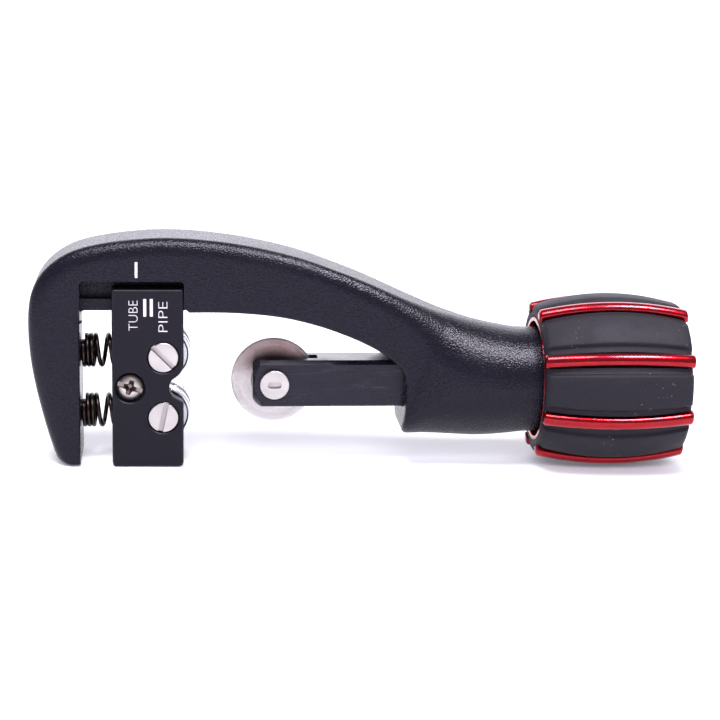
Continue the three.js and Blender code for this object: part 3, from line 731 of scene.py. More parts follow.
def casting_sections():
    """The skin as a grid. A row is a rounded rectangle between an inner and an outer point: y is the half
    width less the rounding plus the ellipse's cosine, and the share of the way outwards is worked out in
    the same way from the sine, so that it turns into an ellipse where the roundings meet."""
    samples = 9
    edges = soften(catmull(np.hstack([INNER_EDGE, OUTER_EDGE]), samples), 6)
    pair = np.arange(len(edges)) / samples
    table = np.array(SECTIONS)
    sizes = soften(np.stack([np.interp(pair, table[:, 0], table[:, k]) for k in range(1, 6)], axis=1), 12)
    half, out_across, out_rise, in_across, in_rise = sizes.T
    inner, outer = edges[:, :2], edges[:, 2:]
    depth = np.linalg.norm(outer - inner, axis=1)
    out_rise, in_rise = np.minimum(out_rise, 0.495 * depth), np.minimum(in_rise, 0.495 * depth)
    ys, heights = [], []
    for quadrant in range(4):
        across, rise = (out_across, out_rise) if quadrant < 2 else (in_across, in_rise)
        along_y, along_z = corner_arc(across, rise, quadrant, 12)
        side = 1 if quadrant in (0, 3) else -1
        ys.append(side * (half - across)[:, None] + along_y)
        centre = depth - rise if quadrant < 2 else rise
        heights.append(centre[:, None] + along_z)
    y, height = np.hstack(ys), np.hstack(heights)
    way = (outer - inner) / depth[:, None]
    x, z = inner[:, :1] + way[:, :1] * height, inner[:, 1:] + way[:, 1:] * height
    return np.stack([x, y, z], axis=-1)


def rail_cutters():
    """The room beside the T rail: down to the flange's side at full height, and on to the web above it."""
    rail_start, rail_end, top, flange_top = -58.5, -37.05, 22.4, 18.2
    corners = [(rail_start, 14.0), (-35.85, 14.0), (-35.85, 15.78), (rail_end, 16.95), (rail_end, top),
               (rail_start, top)]
    pocket = rounded(corners, (0, 0, 0.2, 0.3, 0.9, 0.9))
    groove = rectangle(rail_start, rail_end, flange_top, top, 0.5)
    cutters = []
    for side in (-1, 1):
        pocket_y = sorted((side * 5.0, side * 10.0))
        groove_y = sorted((side * 2.5, side * 6.0))
        cutters.append(slab("pocket", pocket, *pocket_y))
        cutters.append(slab("groove", groove, *groove_y))
    return cutters


def wheel_slot_cutter():
    """The slot that lets the wheel back into the collar: a bar with a round end."""
    low, high = span("cutter_wheel")
    room, half_width = 0.6, 2.1
    radius = (high[0] - low[0]) / 2 + room
    end = middle("cutter_wheel")[0] - JOINTS["slide_feed"]["range_m"][0] / MM
    angle = np.linspace(-math.pi / 2, math.pi / 2, 33)
    arc = np.stack([end + radius * np.cos(angle), radius * np.sin(angle)], axis=1)
    outline = np.concatenate([arc, [(end - 12, radius), (end - 12, -radius)]])
    return slab("wheel slot", outline, -half_width, half_width)


class PIPECUTTER_OT_casting(bpy.types.Operator):
    """Casts the C-shaped frame with its rail, spring bosses, collar and neck"""

    bl_idname = "pipe_cutter.casting"
    bl_label = "Frame Casting"

    def execute(self, context):
        low, high = span("slide_bar")
        bush_start = span("neck_bush")[0][0]
        skin = loft("frame_casting", casting_sections())
        bosses = []
        for node in ("upper_spring", "lower_spring"):
            corners = [(0, -60.5), (2.3, -60.5), (2.3, -56.05), (0, -56.05)]
            profile = rounded(corners, (0, 0, 0.5, 0), closed=False)
            bosses.append(turned("boss", profile, z=middle(node)[2], segments=48))
        pip = [(0, -59.5), (0.8, -59.5), (0.7, -58.3), (0.35, -58.0), (0, -57.95)]
        bosses.append(translated(turned("pip", pip, z=14.1, segments=24), -7.2))
        slide_slot = box("slide slot", 5.0, bush_start - 0.1, low[1] - RUNNING_GAP, high[1] + RUNNING_GAP,
                         low[2] - RUNNING_GAP, high[2] + RUNNING_GAP)
        seat_start, seat = bush_start - 0.2, 7.25
        bush_seat = turned("bush seat", [(0, seat_start), (seat, seat_start), (seat, 60), (0, 60)])
        mesh = joined(skin, *bosses)
        mesh = cut(mesh, *rail_cutters(), slide_slot, wheel_slot_cutter(), bush_seat)
        fit_piece("frame_casting", mesh, "frame", textured_coat(), "black_coat", "frame_body", even=True)
        return {"FINISHED"}


# ---------------------------------------------------------------- carriage


# Screws through the carriage: the radius and floor of the counterbore, and the hole's radius.
SCREW_SEATS = {
    "upper_roller_screw": (3.35, -6.7, 2.3),
    "lower_roller_screw": (3.35, -6.7, 2.3),
    "carriage_screw": (3.2, -6.5, 1.8),
}


def carriage_outline():
    """The carriage's side: a rectangle with a notch for the tube in its right edge."""
    low, high = span("carriage_near_half")
    left, right, bottom, top = low[0], high[0], low[2], high[2]
    corners = [(left, bottom), (right, bottom), (right, -3.1), (-40.1, -1.4), (-40.1, 1.2), (right, 3.4),
               (right, top), (left, top)]
    return rounded(corners, (1.1, 1.1, 0.5, 2.2, 1.6, 2.4, 0.6, 0.6), steps=8)


def screw_seat(node, radius, floor):
    """A counterbore with a slightly flared mouth, from the marked face down to floor, and its hole."""
    x, _, z = middle(node)
    face = span("carriage_near_half")[0][1]
    mouth = face - 0.1
    profile = [(0, floor), (radius, floor), (radius, face + 0.15), (radius + 0.25, mouth), (0, mouth)]
    return turned("seat", profile, "Y", x, z, 64)


class PIPECUTTER_OT_carriage(bpy.types.Operator):
    """Makes the two halves of the roller carriage, with their pockets and seats"""

    bl_idname = "pipe_cutter.carriage"
    bl_label = "Carriage"

    def execute(self, context):
        roller_low, roller_high = span("upper_roller")
        lower_roller_low = span("lower_roller")[0]
        cheek, room, edge = roller_high[1] + 0.35, 0.4, 0.45
        satin = satin_black()
        for node, marked in (("carriage_near_half", True), ("carriage_far_half", False)):
            low, high = span(node)
            across, waste = ((low[1], 3.0), (high[1], 5)) if marked else ((-3.0, high[1]), (-5, low[1]))
            mesh = slab(node, carriage_outline(), *across, edge, 5)
            roller_room = rectangle(roller_low[0] - room, high[0] + 3, lower_roller_low[2] - room,
                                    roller_high[2] + room, 1.5)
            tools = [
                box("split", -60, -30, *waste, -20, 25),
                slab("roller room", roller_room, -cheek, cheek),
                box("flange room", -60, -30, -5.3, 5.3, 15.5, 18.5),
                box("web room", -60, -30, -2.8, 2.8, 18.2, 25),
            ]
            for screw, (_, _, hole) in SCREW_SEATS.items():
                x, _, z = middle(screw)
                tools.append(turned("hole", [(0, -9), (hole, -9), (hole, 9), (0, 9)], "Y", x, z, 48))
            for spring in ("upper_spring", "lower_spring"):
                profile = [(0, low[0] - 1), (4.35, low[0] - 0.1), (4.05, low[0] + 0.25), (4.05, POCKET_FLOOR),
                           (0, POCKET_FLOOR)]
                tools.append(turned("pocket", profile, z=middle(spring)[2], segments=64))
            if marked:
                tools += [screw_seat(screw, seat, floor) for screw, (seat, floor, _) in SCREW_SEATS.items()]
            name = node.replace("_half", "_cheek")
            fit_piece(name, cut(mesh, *tools), "carriage", satin, "black_coat", node, even=True)
        return {"FINISHED"}


def stroke(x0, x1, z0, z1, face):
    """A printed bar that stands 0.03 mm proud of a face that looks along -Y."""
    return slab("stroke", rectangle(x0, x1, z0, z1, 0.12), face - 0.03, face + 0.05)


def word_mesh(word, x, z, height, length, face):
    """A word in the plain built-in lettering, read upwards, as a mesh that stands 0.03 mm proud."""
    curve = bpy.data.curves.new(word, "FONT")
    curve.body = word
    curve.align_x, curve.align_y = "CENTER", "CENTER"
    curve.extrude = 0.04
    curve.offset = -0.019
    curve.resolution_u = 4
    text = bpy.data.objects.new(word, curve)
    bpy.context.scene.collection.objects.link(text)
    bpy.context.view_layer.update()
    mesh = bpy.data.meshes.new_from_object(text.evaluated_get(bpy.context.evaluated_depsgraph_get()))
    bpy.data.objects.remove(text)
    count = len(mesh.vertices)
    points = np.empty(count * 3)
    mesh.vertices.foreach_get("co", points)
    points = points.reshape(-1, 3)
    low, high = points.min(axis=0), points.max(axis=0)
    share = (points - (low + high) / 2) / (high - low)
    across, up = -share[:, 1] * height, share[:, 0] * length
    place = np.stack([x + across, face + 0.01 - share[:, 2] * 0.08, z + up + AXIS_HEIGHT], axis=1) * MM
    mesh.vertices.foreach_set("co", place.ravel())
    work = bmesh.new()
    work.from_mesh(mesh)
    bmesh.ops.remove_doubles(work, verts=work.verts, dist=1e-7)
    bmesh.ops.recalc_face_normals(work, faces=work.faces)
    work.to_mesh(mesh)
    work.free()
    return mesh


def gather(name, meshes):
    """Separate closed shells put into one mesh."""
    work = bmesh.new()
    for mesh in meshes:
        work.from_mesh(mesh)
    whole = bpy.data.meshes.new(name)
    work.to_mesh(whole)
    work.free()
    return whole


class PIPECUTTER_OT_marks(bpy.types.Operator):
    """Prints the index line on the frame and the load marks on the carriage"""

    bl_idname = "pipe_cutter.marks"
    bl_label = "Printed Marks"

    def execute(self, context):
        frame_face = -8.5
        carriage_face = span("carriage_near_half")[0][1]
        ink = printed_white()
        line = stroke(-47.12, -46.55, 23.2, 26.5, frame_face)
        fit_piece("index_line", line, "frame", ink, None)
        marks = [
            stroke(-45.43, -44.8, 15.1, 18.8, carriage_face),
            stroke(-44.08, -43.45, 15.1, 18.8, carriage_face),
            word_mesh("TUBE", -47.5, 15.3, 1.85, 6.3, carriage_face),
            word_mesh("PIPE", -41.4, 15.05, 1.85, 6.3, carriage_face),
        ]
        fit_piece("load_marks", gather("load marks", marks), "carriage", ink, None)
        return {"FINISHED"}


class PIPECUTTER_OT_rollers(bpy.types.Operator):
    """Turns the two grooved rollers"""

    bl_idname = "pipe_cutter.rollers"
    bl_label = "Rollers"

    def execute(self, context):
        for node in ("upper_roller", "lower_roller"):
            low, high = span(node)
            x, _, z = middle(node)
            radius, half, bore = (high[0] - low[0]) / 2, (high[1] - low[1]) / 2, 2.3
            groove = radius - 0.55
            corners = [
                (bore, -half), (3.6, -half), (3.75, -half + 0.18), (5.0, -half + 0.18), (5.15, -half),
                (radius - 0.05, -half), (radius, -half + 0.3), (radius, -1.3), (groove, -1.0), (groove, 1.0),
                (radius, 1.3), (radius, half - 0.3), (radius - 0.05, half), (bore, half),
            ]
            mesh = turned(node, rounded(corners, 0.16, 4), "Y", x, z, 128, ring=True)
            finish = plated(f"chrome of {node}", (0.60, 0.61, 0.655), 0.16, middle(node), smudge=0.10)
            fit_piece(f"{node}_turned", mesh, node, finish, "bright_chrome", node)
        return {"FINISHED"}


class PIPECUTTER_OT_screws(bpy.types.Operator):
    """Makes the two slotted roller screws and the cross-recessed carriage screw"""

    bl_idname = "pipe_cutter.screws"
    bl_label = "Screws"

    def execute(self, context):
        slots = {"upper_roller_screw": math.radians(45), "lower_roller_screw": math.radians(-78)}
        depth = 1.1
        for node, angle in slots.items():
            low, high = span(node)
            x, _, z = middle(node)
            head = (high[0] - low[0]) / 2
            corners = [(0, low[1]), (head, low[1]), (head, -7.0), (2.0, -7.0), (2.0, high[1] - 0.4),
                       (1.6, high[1]), (0, high[1])]
            profile = rounded(corners, (0, 0.22, 0.1, 0.1, 0.1, 0.1, 0), closed=False)
            body = turned(node, profile, "Y", x, z)
            slot = box("slot", x - 4, x + 4, low[1] - 1, low[1] + depth, z - 0.54, z + 0.54)
            slot = turned_mesh(slot, angle, x, z)
            fit_piece(f"{node}_plated", cut(body, slot), "carriage", nickel(node, depth),
                      "nickel_plate", node, even=True)
        self.carriage_screw()
        return {"FINISHED"}

    def carriage_screw(self):
        """A round head with a cross recess, whose arms narrow towards its floor, and a shallow slot."""
        node = "carriage_screw"
        low, high = span(node)
        x, _, z = middle(node)
        head = (high[0] - low[0]) / 2
        corners = [(0, low[1]), (1.7, low[1] + 0.12), (head, low[1] + 0.75), (head, -6.8), (1.5, -6.8),
                   (1.5, high[1] - 0.3), (1.2, high[1]), (0, high[1])]
        profile = rounded(corners, (0, 1.0, 0.25, 0.1, 0.1, 0.1, 0.1, 0), closed=False)
        body = turned(node, profile, "Y", x, z)
        arm, half, root = 1.6, 0.45, 0.62
        blade = rounded([
            (-arm, -half), (-root, -root), (-half, -arm), (half, -arm), (root, -root), (arm, -half),
            (arm, half), (root, root), (half, arm), (-half, arm), (-root, root), (-arm, half)], 0.2, 3)
        shares = np.array([1.08, 1.0, 0.72, 0.3])
        depths = low[1] + np.array([-0.3, 0.1, 1.1, 1.7])
        flat = blade[None] * shares[:, None, None]
        across = np.broadcast_to(depths[:, None], flat.shape[:2])
        turn, past_tip = math.radians(18), 9.0
        rows = np.stack([flat[..., 0] + x, across, flat[..., 1] + z], axis=-1)
        recess = turned_mesh(loft("recess", rows), turn, x, z)
        slot = box("slot", x - 4, x + 4, low[1] - 1, low[1] + 0.7, z - 0.5, z + 0.5)
        slot = turned_mesh(slot, turn, x, z)
        fit_piece(f"{node}_plated", cut(body, recess, slot), "carriage", nickel(node, past_tip),
                  "nickel_plate", node, even=True)


class PIPECUTTER_OT_springs(bpy.types.Operator):
    """Winds the two springs between the arm and the carriage"""

    bl_idname = "pipe_cutter.springs"
    bl_label = "Springs"

    def execute(self, context):
        wire = context.scene.cutter_sizes.spring_wire / MM / 2
        coil, tip_gap = 3.2, 0.05
        steel = drawn_steel("blackened spring steel", (0.050, 0.037, 0.034), 0.24, (1.0, 1.0, 1.0))
        start, end = ARM_FACE + wire, POCKET_FLOOR - tip_gap - wire
        for node in ("upper_spring", "lower_spring"):
            z = middle(node)[2]
            mesh = self.coil_mesh(node, wire, coil, start, end, z)
            piece = fit_piece(f"{node}_coil", mesh, "frame", steel, "dark_steel", node)
            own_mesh(piece)
        return {"FINISHED"}

    def coil_mesh(self, name, wire, coil, start, end, z):
        """A tube round a helix: at angle a the centre is (x(a), coil cos a, coil sin a). x goes smoothly
        through the stations of the turns, which lie close together at the arm and apart towards the
        carriage. The tube's circle lies along the coil's radius and the direction square to the path."""
        turns = np.array([-1.85, -1.0, 0.0, 1.0, 2.0, 3.0, 3.8])
        stations = np.array([0.0, 0.09, 0.195, 0.30, 0.61, 0.91, 1.0]) * (end - start) + start
        share = np.linspace(turns[0], turns[-1], 480)
        x = soften(np.interp(share, turns, stations), 120)
        angle = share * FULL_TURN + math.pi / 2
        radial = np.stack([np.zeros_like(angle), np.cos(angle), np.sin(angle)], axis=1)
        centre = radial * coil
        centre[:, 0] = x
        along = np.gradient(centre, axis=0)
        along /= np.linalg.norm(along, axis=1)[:, None]
        square = np.cross(along, radial)
        around = np.linspace(0, FULL_TURN, 20, endpoint=False)
        taper = np.ones(len(share))
        taper[:3] = taper[-3:][::-1] = (0.55, 0.85, 0.97)
        around = around[None, :, None]
        ring = radial[:, None] * np.cos(around) + square[:, None] * np.sin(around)
        rows = centre[:, None] + ring * (wire * taper)[:, None, None]
        rows[..., 2] += z
        return loft(name, rows)


# ---------------------------------------------------------------- slide and wheel


class PIPECUTTER_OT_slide(bpy.types.Operator):
    """Mills the slide, with its wheel fork, its bore and its turned front end"""

    bl_idname = "pipe_cutter.slide"
    bl_label = "Slide"

    def execute(self, context):
        low, high = span("slide_bar")
        wheel_end = span("cutter_wheel")[1][0]
        pin = middle("wheel_pin")
        outline = rectangle(low[0], high[0], low[2], high[2], (2.0, 0.5, 0.5, 1.1), 8)
        bar = slab("slide_bar", outline, low[1], high[1], 0.22, 4)
        envelope = turned("front turning", [
            (0, low[0] - 0.1), (4.1, low[0] - 0.1), (6.85, low[0] + 1.95), (7.2, low[0] + 4),
            (7.2, high[0] - 1.2), (6.2, high[0] + 0.1), (0, high[0] + 0.1)], segments=160)
        bar = combined(bar, [envelope], "INTERSECT")
        fork = box("fork", low[0] - 1, wheel_end + 0.3, -1.8, 1.8, -6, 6)
        past_end = high[0] + 0.1
        bore = turned("bore", [(0, -7.3), (3.4, -6.2), (3.4, high[0] - 0.5), (3.9, past_end), (0, past_end)])
        hole = turned("pin hole", [(0, -6), (2.1, -6), (2.1, 6), (0, 6)], "Y", pin[0], pin[2], 64)
        edges = [self.corner(low, high, side) for side in (-1, 1)]
        mesh = cut(bar, fork, bore, hole, *edges)
        fit_piece("slide_milled", mesh, "slide", black_oxide(), "black_oxide", "slide_bar", even=True)
        return {"FINISHED"}

    def corner(self, low, high, side):
        """What a 45 degree chamfer takes off the upper edge on one side, carried along X."""
        cut_back, over = 0.85, 0.4
        y = np.array([high[1] + over, high[1] - cut_back - over, high[1] + over])
        z = np.array([high[2] + over, high[2] + over, high[2] - cut_back - over])
        x = np.array([low[0] - 1, high[0] + 1])[:, None]
        rows = np.stack([np.broadcast_to(x, (2, 3)), np.stack([side * y] * 2), np.stack([z] * 2)], axis=-1)
        return loft("corner", rows)


class PIPECUTTER_OT_wheel(bpy.types.Operator):
    """Grinds the cutting wheel and makes its pin and clip"""

    bl_idname = "pipe_cutter.wheel"
    bl_label = "Cutting Wheel"

    def execute(self, context):
        self.wheel()
        self.pin()
        self.clip()
        return {"FINISHED"}

    def wheel(self):
        low, high = span("cutter_wheel")
        x, _, z = middle("cutter_wheel")
        radius, hub = (high[0] - low[0]) / 2, (high[1] - low[1]) / 2
        corners = [(2.1, -hub), (4.6, -hub), (4.8, -0.72), (8.55, -0.24), (radius, -0.03),
                   (radius, 0.03), (8.55, 0.24), (4.8, 0.72), (4.6, hub), (2.1, hub)]
        roundings = (0.07, 0.07, 0.07, 0.3, 0, 0, 0.3, 0.07, 0.07, 0.07)
        mesh = turned("cutter_wheel", rounded(corners, roundings, 3), "Y", x, z, 192, ring=True)
        fit_piece("cutter_wheel_ground", mesh, "wheel", wheel_steel(), "tool_steel", "cutter_wheel",
                  crease=20.0)

    def pin(self):
        low, high = span("wheel_pin")
        x, _, z = middle("wheel_pin")
        head = (high[0] - low[0]) / 2
        shank, waist, under_head, waist_start, waist_end = 2.0, 1.45, -5.05, 5.1, 6.3
        corners = [
            (0, low[1]), (head, low[1]), (head, under_head), (shank, under_head), (shank, waist_start),
            (waist, waist_start), (waist, waist_end), (shank, waist_end), (1.7, high[1]), (0, high[1])]
        profile = rounded(corners, (0, 0.14, 0.1, 0.1, 0, 0.1, 0.1, 0, 0.1, 0), closed=False)
        body = turned("wheel_pin", profile, "Y", x, z)
        depth = 0.8
        outline = rectangle(x - 1.42, x + 1.42, z - 0.7, z + 0.7, 0.68, 8)
        recess = slab("recess", outline, low[1] - 1, low[1] + depth)
        fit_piece("wheel_pin_plated", cut(body, recess), "slide", nickel("wheel_pin", depth), "nickel_plate",
                  "wheel_pin", even=True)

    def clip(self):
        """An open ring with three inner lobes: its inner radius is 1.75 plus 0.45 times (1 - cos 3a) / 2,
        with a measured from the side opposite the ring's mouth."""
        low, high = span("wheel_pin_clip")
        x, _, z = middle("wheel_pin")
        mouth = 0.62
        angle = np.linspace(mouth, FULL_TURN - mouth, 61)
        outer = 3.35
        inner = 1.75 + 0.45 * (1 - np.cos(3 * (angle - math.pi))) / 2
        ring = np.concatenate([np.stack([outer * np.cos(angle), outer * np.sin(angle)], axis=1),
                               np.stack([inner * np.cos(angle), inner * np.sin(angle)], axis=1)[::-1]])
        ring += (x, z)
        mesh = slab("wheel_pin_clip", ring, low[1], high[1], 0.1, 2)
        steel = drawn_steel("blackened clip steel", (0.10, 0.095, 0.09), 0.34, (1.0, 1.0, 1.0))
        fit_piece("wheel_pin_clip_pressed", mesh, "slide", steel, "dark_steel", "wheel_pin_clip", even=True)


# ---------------------------------------------------------------- feed and knob


class PIPECUTTER_OT_feed(bpy.types.Operator):
    """Cuts the left-hand feed screw and turns its bush, washers and end screw"""

    bl_idname = "pipe_cutter.feed"
    bl_label = "Feed Screw"

    def execute(self, context):
        self.screw(context.scene.cutter_sizes.thread_pitch / MM)
        self.rings()
        self.end_screw()
        return {"FINISHED"}

    def screw(self, pitch):
        """The radius at station x and angle a is the turned profile less a groove: the groove's depth is 0.75
        times a trapezoid of the fraction of x / pitch + a / (2 pi), faded in over 2 mm at either end."""
        low, high = span("feed_screw")
        shoulder, collar, shaft, major, depth = 50.2, 4.5, 3.0, 3.08, 0.75
        thread = np.arange(low[0] + 0.9, shoulder - 1.0, pitch / 12)
        station = np.concatenate([
            low[0] + np.array([0, 0, 0.3, 0.6]), thread, shoulder + np.array([-0.9, 0, 0, 0.15, 1.85, 2, 2]),
            [high[0] - 0.4, high[0], high[0]]])
        radius = np.concatenate([
            [0, 2.1, 2.5, 2.8], np.full(len(thread), major),
            [major, major, collar - 0.15, collar, collar, collar - 0.15, shaft], [shaft, shaft - 0.4, 0]])
        angle = np.linspace(0, FULL_TURN, 64, endpoint=False)
        phase = (station[:, None] / pitch + angle / FULL_TURN) % 1.0
        groove = np.clip(2.6 * (0.5 - np.abs(phase - 0.5)) - 0.25, 0, 0.7) / 0.7
        fade = np.clip(np.minimum((station - low[0]) / 2, (shoulder - 2.0 - station) / 2), 0, 1)
        cut_radius = radius[:, None] - depth * groove * fade[:, None] * (radius > 2)[:, None]
        points = np.stack([np.broadcast_to(station[:, None], phase.shape), cut_radius * np.cos(angle),
                           cut_radius * np.sin(angle)], axis=-1)
        mesh = closed_mesh("feed_screw", points, quads(len(station), 64, wrap_cols=True))
        tapped = turned("tapped hole", [
            (0, high[0] - 8), (1.8, high[0] - 7), (1.8, high[0] + 1), (0, high[0] + 1)])
        steel = drawn_steel("feed screw steel", (0.42, 0.40, 0.38), 0.28)
        fit_piece("feed_screw_cut", cut(mesh, tapped), "knob", steel, "tool_steel", "feed_screw")

    def ring_mesh(self, node, bore):
        low, high = span(node)
        radius = (high[1] - low[1]) / 2
        corners = [(bore, low[0]), (radius, low[0]), (radius, high[0]), (bore, high[0])]
        return turned(node, rounded(corners, 0.12, 3), ring=True)

    def rings(self):
        low, high = span("neck_bush")
        flange, bore, barrel_radius, rim = high[0] - 1.0, 3.25, 7.0, 9.0
        corners = [(bore, low[0]), (barrel_radius, low[0]), (barrel_radius, flange), (rim, flange),
                   (rim, high[0]), (bore, high[0])]
        bush = turned("neck_bush", rounded(corners, 0.15, 3), ring=True)
        brass = drawn_steel("bearing brass", (0.62, 0.43, 0.18), 0.26)
        fit_piece("neck_bush_turned", bush, "frame", brass, "bearing_brass", "neck_bush")
        bright = drawn_steel("bright washer steel", (0.70, 0.69, 0.67), 0.22)
        for name, node, hole in (
                ("thrust_washer_ground", "thrust_washer", bore), ("knob_washer_pressed", "knob_washer", 1.8)):
            fit_piece(name, self.ring_mesh(node, hole), "knob", bright, "nickel_plate", node)

    def end_screw(self):
        low, high = span("knob_screw")
        head, seat = 3.4, high[0] - 2.0
        corners = [(0, low[0]), (1.3, low[0]), (1.5, low[0] + 0.3), (1.5, seat), (head, seat),
                   (head, high[0]), (0, high[0])]
        body = turned("knob_screw", rounded(corners, (0, 0.1, 0.1, 0.1, 0.1, 0.35, 0), closed=False))
        socket = turned("socket", [
            (0, high[0] - 1.6), (1.7, high[0] - 1.3), (1.7, high[0] + 1), (0, high[0] + 1)], segments=6)
        steel = drawn_steel("blackened screw steel", (0.09, 0.085, 0.08), 0.32)
        fit_piece("knob_screw_black", cut(body, socket), "knob", steel, "dark_steel", "knob_screw", even=True)


def barrel(x, low, high, mid_radius, end_radius):
    """Radius of a barrel at x: the mid radius less the fall to the end radius times the square of the share
    of the half length."""
    share = (x - (low + high) / 2) / ((high - low) / 2)
    return mid_radius - (mid_radius - end_radius) * share**2


class PIPECUTTER_OT_knob(bpy.types.Operator):
    """Makes the red ribbed core, the rubber grip and the end cap"""

    bl_idname = "pipe_cutter.knob"
    bl_label = "Knob"

    # The first rib's angle, and in millimetres the radii of the core, its hollow and the hollow's mouth.
    phase = math.radians(24.9)
    sleeve = 13.6
    cavity = 12.4
    rim = 13.25

    def execute(self, context):
        sizes = context.scene.cutter_sizes
        self.core(sizes.rib_count, sizes.rib_width / MM / 2)
        self.grip(sizes.rib_count)
        self.cap()
        return {"FINISHED"}

    def rib(self, angle, half):
        """A bead along the barrel. Across it, the surface is a half ellipse over two upright sides; towards
        its ends the width and crest shrink with sqrt(1 - s^2), where s runs from 0 to 1 over the last
        stretch, and the foot is higher, where the rubber passes under it."""
        low, high = span("knob_core")
        x0, x1, end, rise = low[0], high[0], 0.6, 1.1
        raised, foot, raised_foot = 2.1, 13.0, 14.85
        turn = np.linspace(0, math.pi / 2, 9)
        x = np.concatenate([x0 + end * (1 - np.cos(turn)), np.linspace(x0 + end, x1 - end, 60)[1:-1],
                            x1 - end * (1 - np.cos(turn))[::-1]])
        inside = np.clip(np.minimum(x - x0, x1 - x) / end, 0, 1)
        shrink = np.sqrt(np.maximum(1 - (1 - inside) ** 2, 0.02))
        crest = barrel(x, x0, x1, 18.8, 16.8) - 0.7 * (1 - shrink)
        width = half * (0.72 + 0.28 * shrink)
        arch = np.linspace(0, math.pi, 17)
        floor = np.where(np.minimum(x - x0, x1 - x) < raised, raised_foot, foot)
        over = np.stack([
            width[:, None] * np.cos(arch), (crest - rise)[:, None] + rise * np.sin(arch)], axis=-1)
        feet = np.stack([np.stack([-width, floor], axis=-1), np.stack([width, floor], axis=-1)], axis=1)
        section = np.concatenate([over, feet], axis=1)
        side, tall = section[..., 0], section[..., 1]
        y = -tall * math.cos(angle) + side * math.sin(angle)
        z = tall * math.sin(angle) + side * math.cos(angle)
        return loft("rib", np.stack([np.broadcast_to(x[:, None], y.shape), y, z], axis=-1))

    def core(self, count, half):
        low, high = span("knob_core")
        hub, hub_end, bore = 58.2, 63.0, 3.25
        start, end, mouth = low[0] + 1.2, high[0] - 1.2, low[0] + 0.25
        lip = self.rim - 0.03
        corners = [
            (self.cavity, mouth), (lip, mouth), (lip, start), (self.sleeve, start), (self.sleeve, end),
            (self.cavity, end), (self.cavity, hub_end), (bore, hub_end), (bore, hub), (self.cavity, hub)]
        tube = turned("knob_core", rounded(corners, 0.12, 3), segments=160, ring=True)
        ribs = [self.rib(self.phase + k * FULL_TURN / count, half) for k in range(count)]
        mesh = joined(tube, *ribs)
        fit_piece("knob_core_ribbed", mesh, "knob", red_anodised(), "red_anodised", "knob_core")

    def grip(self, count):
        """A sleeve whose outer radius at x and angle a is the barrel's less 0.75 mm in a channel round each
        rib, and less again down to the core in the rib's own slot, which stops short of the two ends. The
        steps are smooth."""
        low, high = span("knob_grip")
        x0, x1, lip = low[0], high[0], 1.1
        turn = np.linspace(0, math.pi / 2, 7)
        outer_x = np.concatenate([
            x0 + lip * (1 - np.sin(turn))[::-1], np.linspace(x0 + lip, x1 - lip, 48)[1:-1],
            x1 - lip * (1 - np.sin(turn))])
        fall = np.zeros_like(outer_x)
        fall[:7], fall[-7:] = lip * (1 - np.cos(turn))[::-1], lip * (1 - np.cos(turn))
        outer_r = barrel(outer_x, x0, x1, 18.4, 15.9) - fall
        seat, step = self.sleeve + 0.25, 0.85
        inner_x = np.array([x1, x1 - step, x1 - step, x0 + step, x0 + step, x0 + 0.2, x0])
        inner_r = np.array([self.cavity, self.cavity, seat, seat, self.rim, self.rim, self.rim + 0.2])
        x = np.concatenate([outer_x, inner_x])
        radius = np.concatenate([outer_r, inner_r])
        outside = np.concatenate([np.ones_like(outer_x), np.zeros_like(inner_x)])
        sector = FULL_TURN / count
        channel_edge, channel_blend, channel_depth = 0.20, 0.045, 0.75
        slot_edge, slot_blend = 0.095, 0.006
        edges = np.concatenate([
            np.linspace(-sector / 2, -0.23, 9), np.linspace(-channel_edge, -0.155, 7), [-0.12],
            np.linspace(-slot_edge, -0.089, 3)])
        offsets = np.concatenate([edges, [0.0], -edges[::-1]])[:-1]
        angle = (self.phase + np.arange(count)[:, None] * sector + offsets[None]).ravel()
        off = np.abs(np.tile(offsets, count))
        channel = np.clip((channel_edge - off) / channel_blend, 0, 1)
        channel = channel**2 * (3 - 2 * channel)
        within = np.minimum(x - x0, x1 - x) > lip + 0.2
        slot = np.clip((slot_edge - off) / slot_blend, 0, 1)[None] * within[:, None]
        top = radius[:, None] - outside[:, None] * channel_depth * channel[None]
        floor = np.full_like(top, seat + 0.02)
        slotted = top * (1 - slot) + np.minimum(floor, top) * slot
        shaped = np.where(outside[:, None] > 0.5, slotted, radius[:, None])
        y, z = -shaped * np.cos(angle), shaped * np.sin(angle)
        points = np.stack([np.broadcast_to(x[:, None], y.shape), y, z], axis=-1)
        mesh = closed_mesh("knob_grip", points, quads(len(x), len(angle), wrap_rows=True, wrap_cols=True))
        fit_piece("knob_grip_moulded", mesh, "knob", grip_rubber(), "grip_rubber", "knob_grip", crease=50.0)

    def cap(self):
        low, high = span("knob_cap")
        rim = (high[1] - low[1]) / 2
        corners = [(0, low[0]), (rim, low[0]), (rim, high[0] - 0.3), (rim - 0.7, high[0]), (8.6, high[0]),
                   (8.1, high[0] - 0.45), (0, high[0] - 0.45)]
        profile = rounded(corners, (0, 0.15, 0.3, 0.3, 0.3, 0.3, 0), closed=False)
        mesh = turned("knob_cap", profile, segments=128)
        fit_piece("knob_cap_moulded", mesh, "knob", satin_plastic(), "black_plastic", "knob_cap")


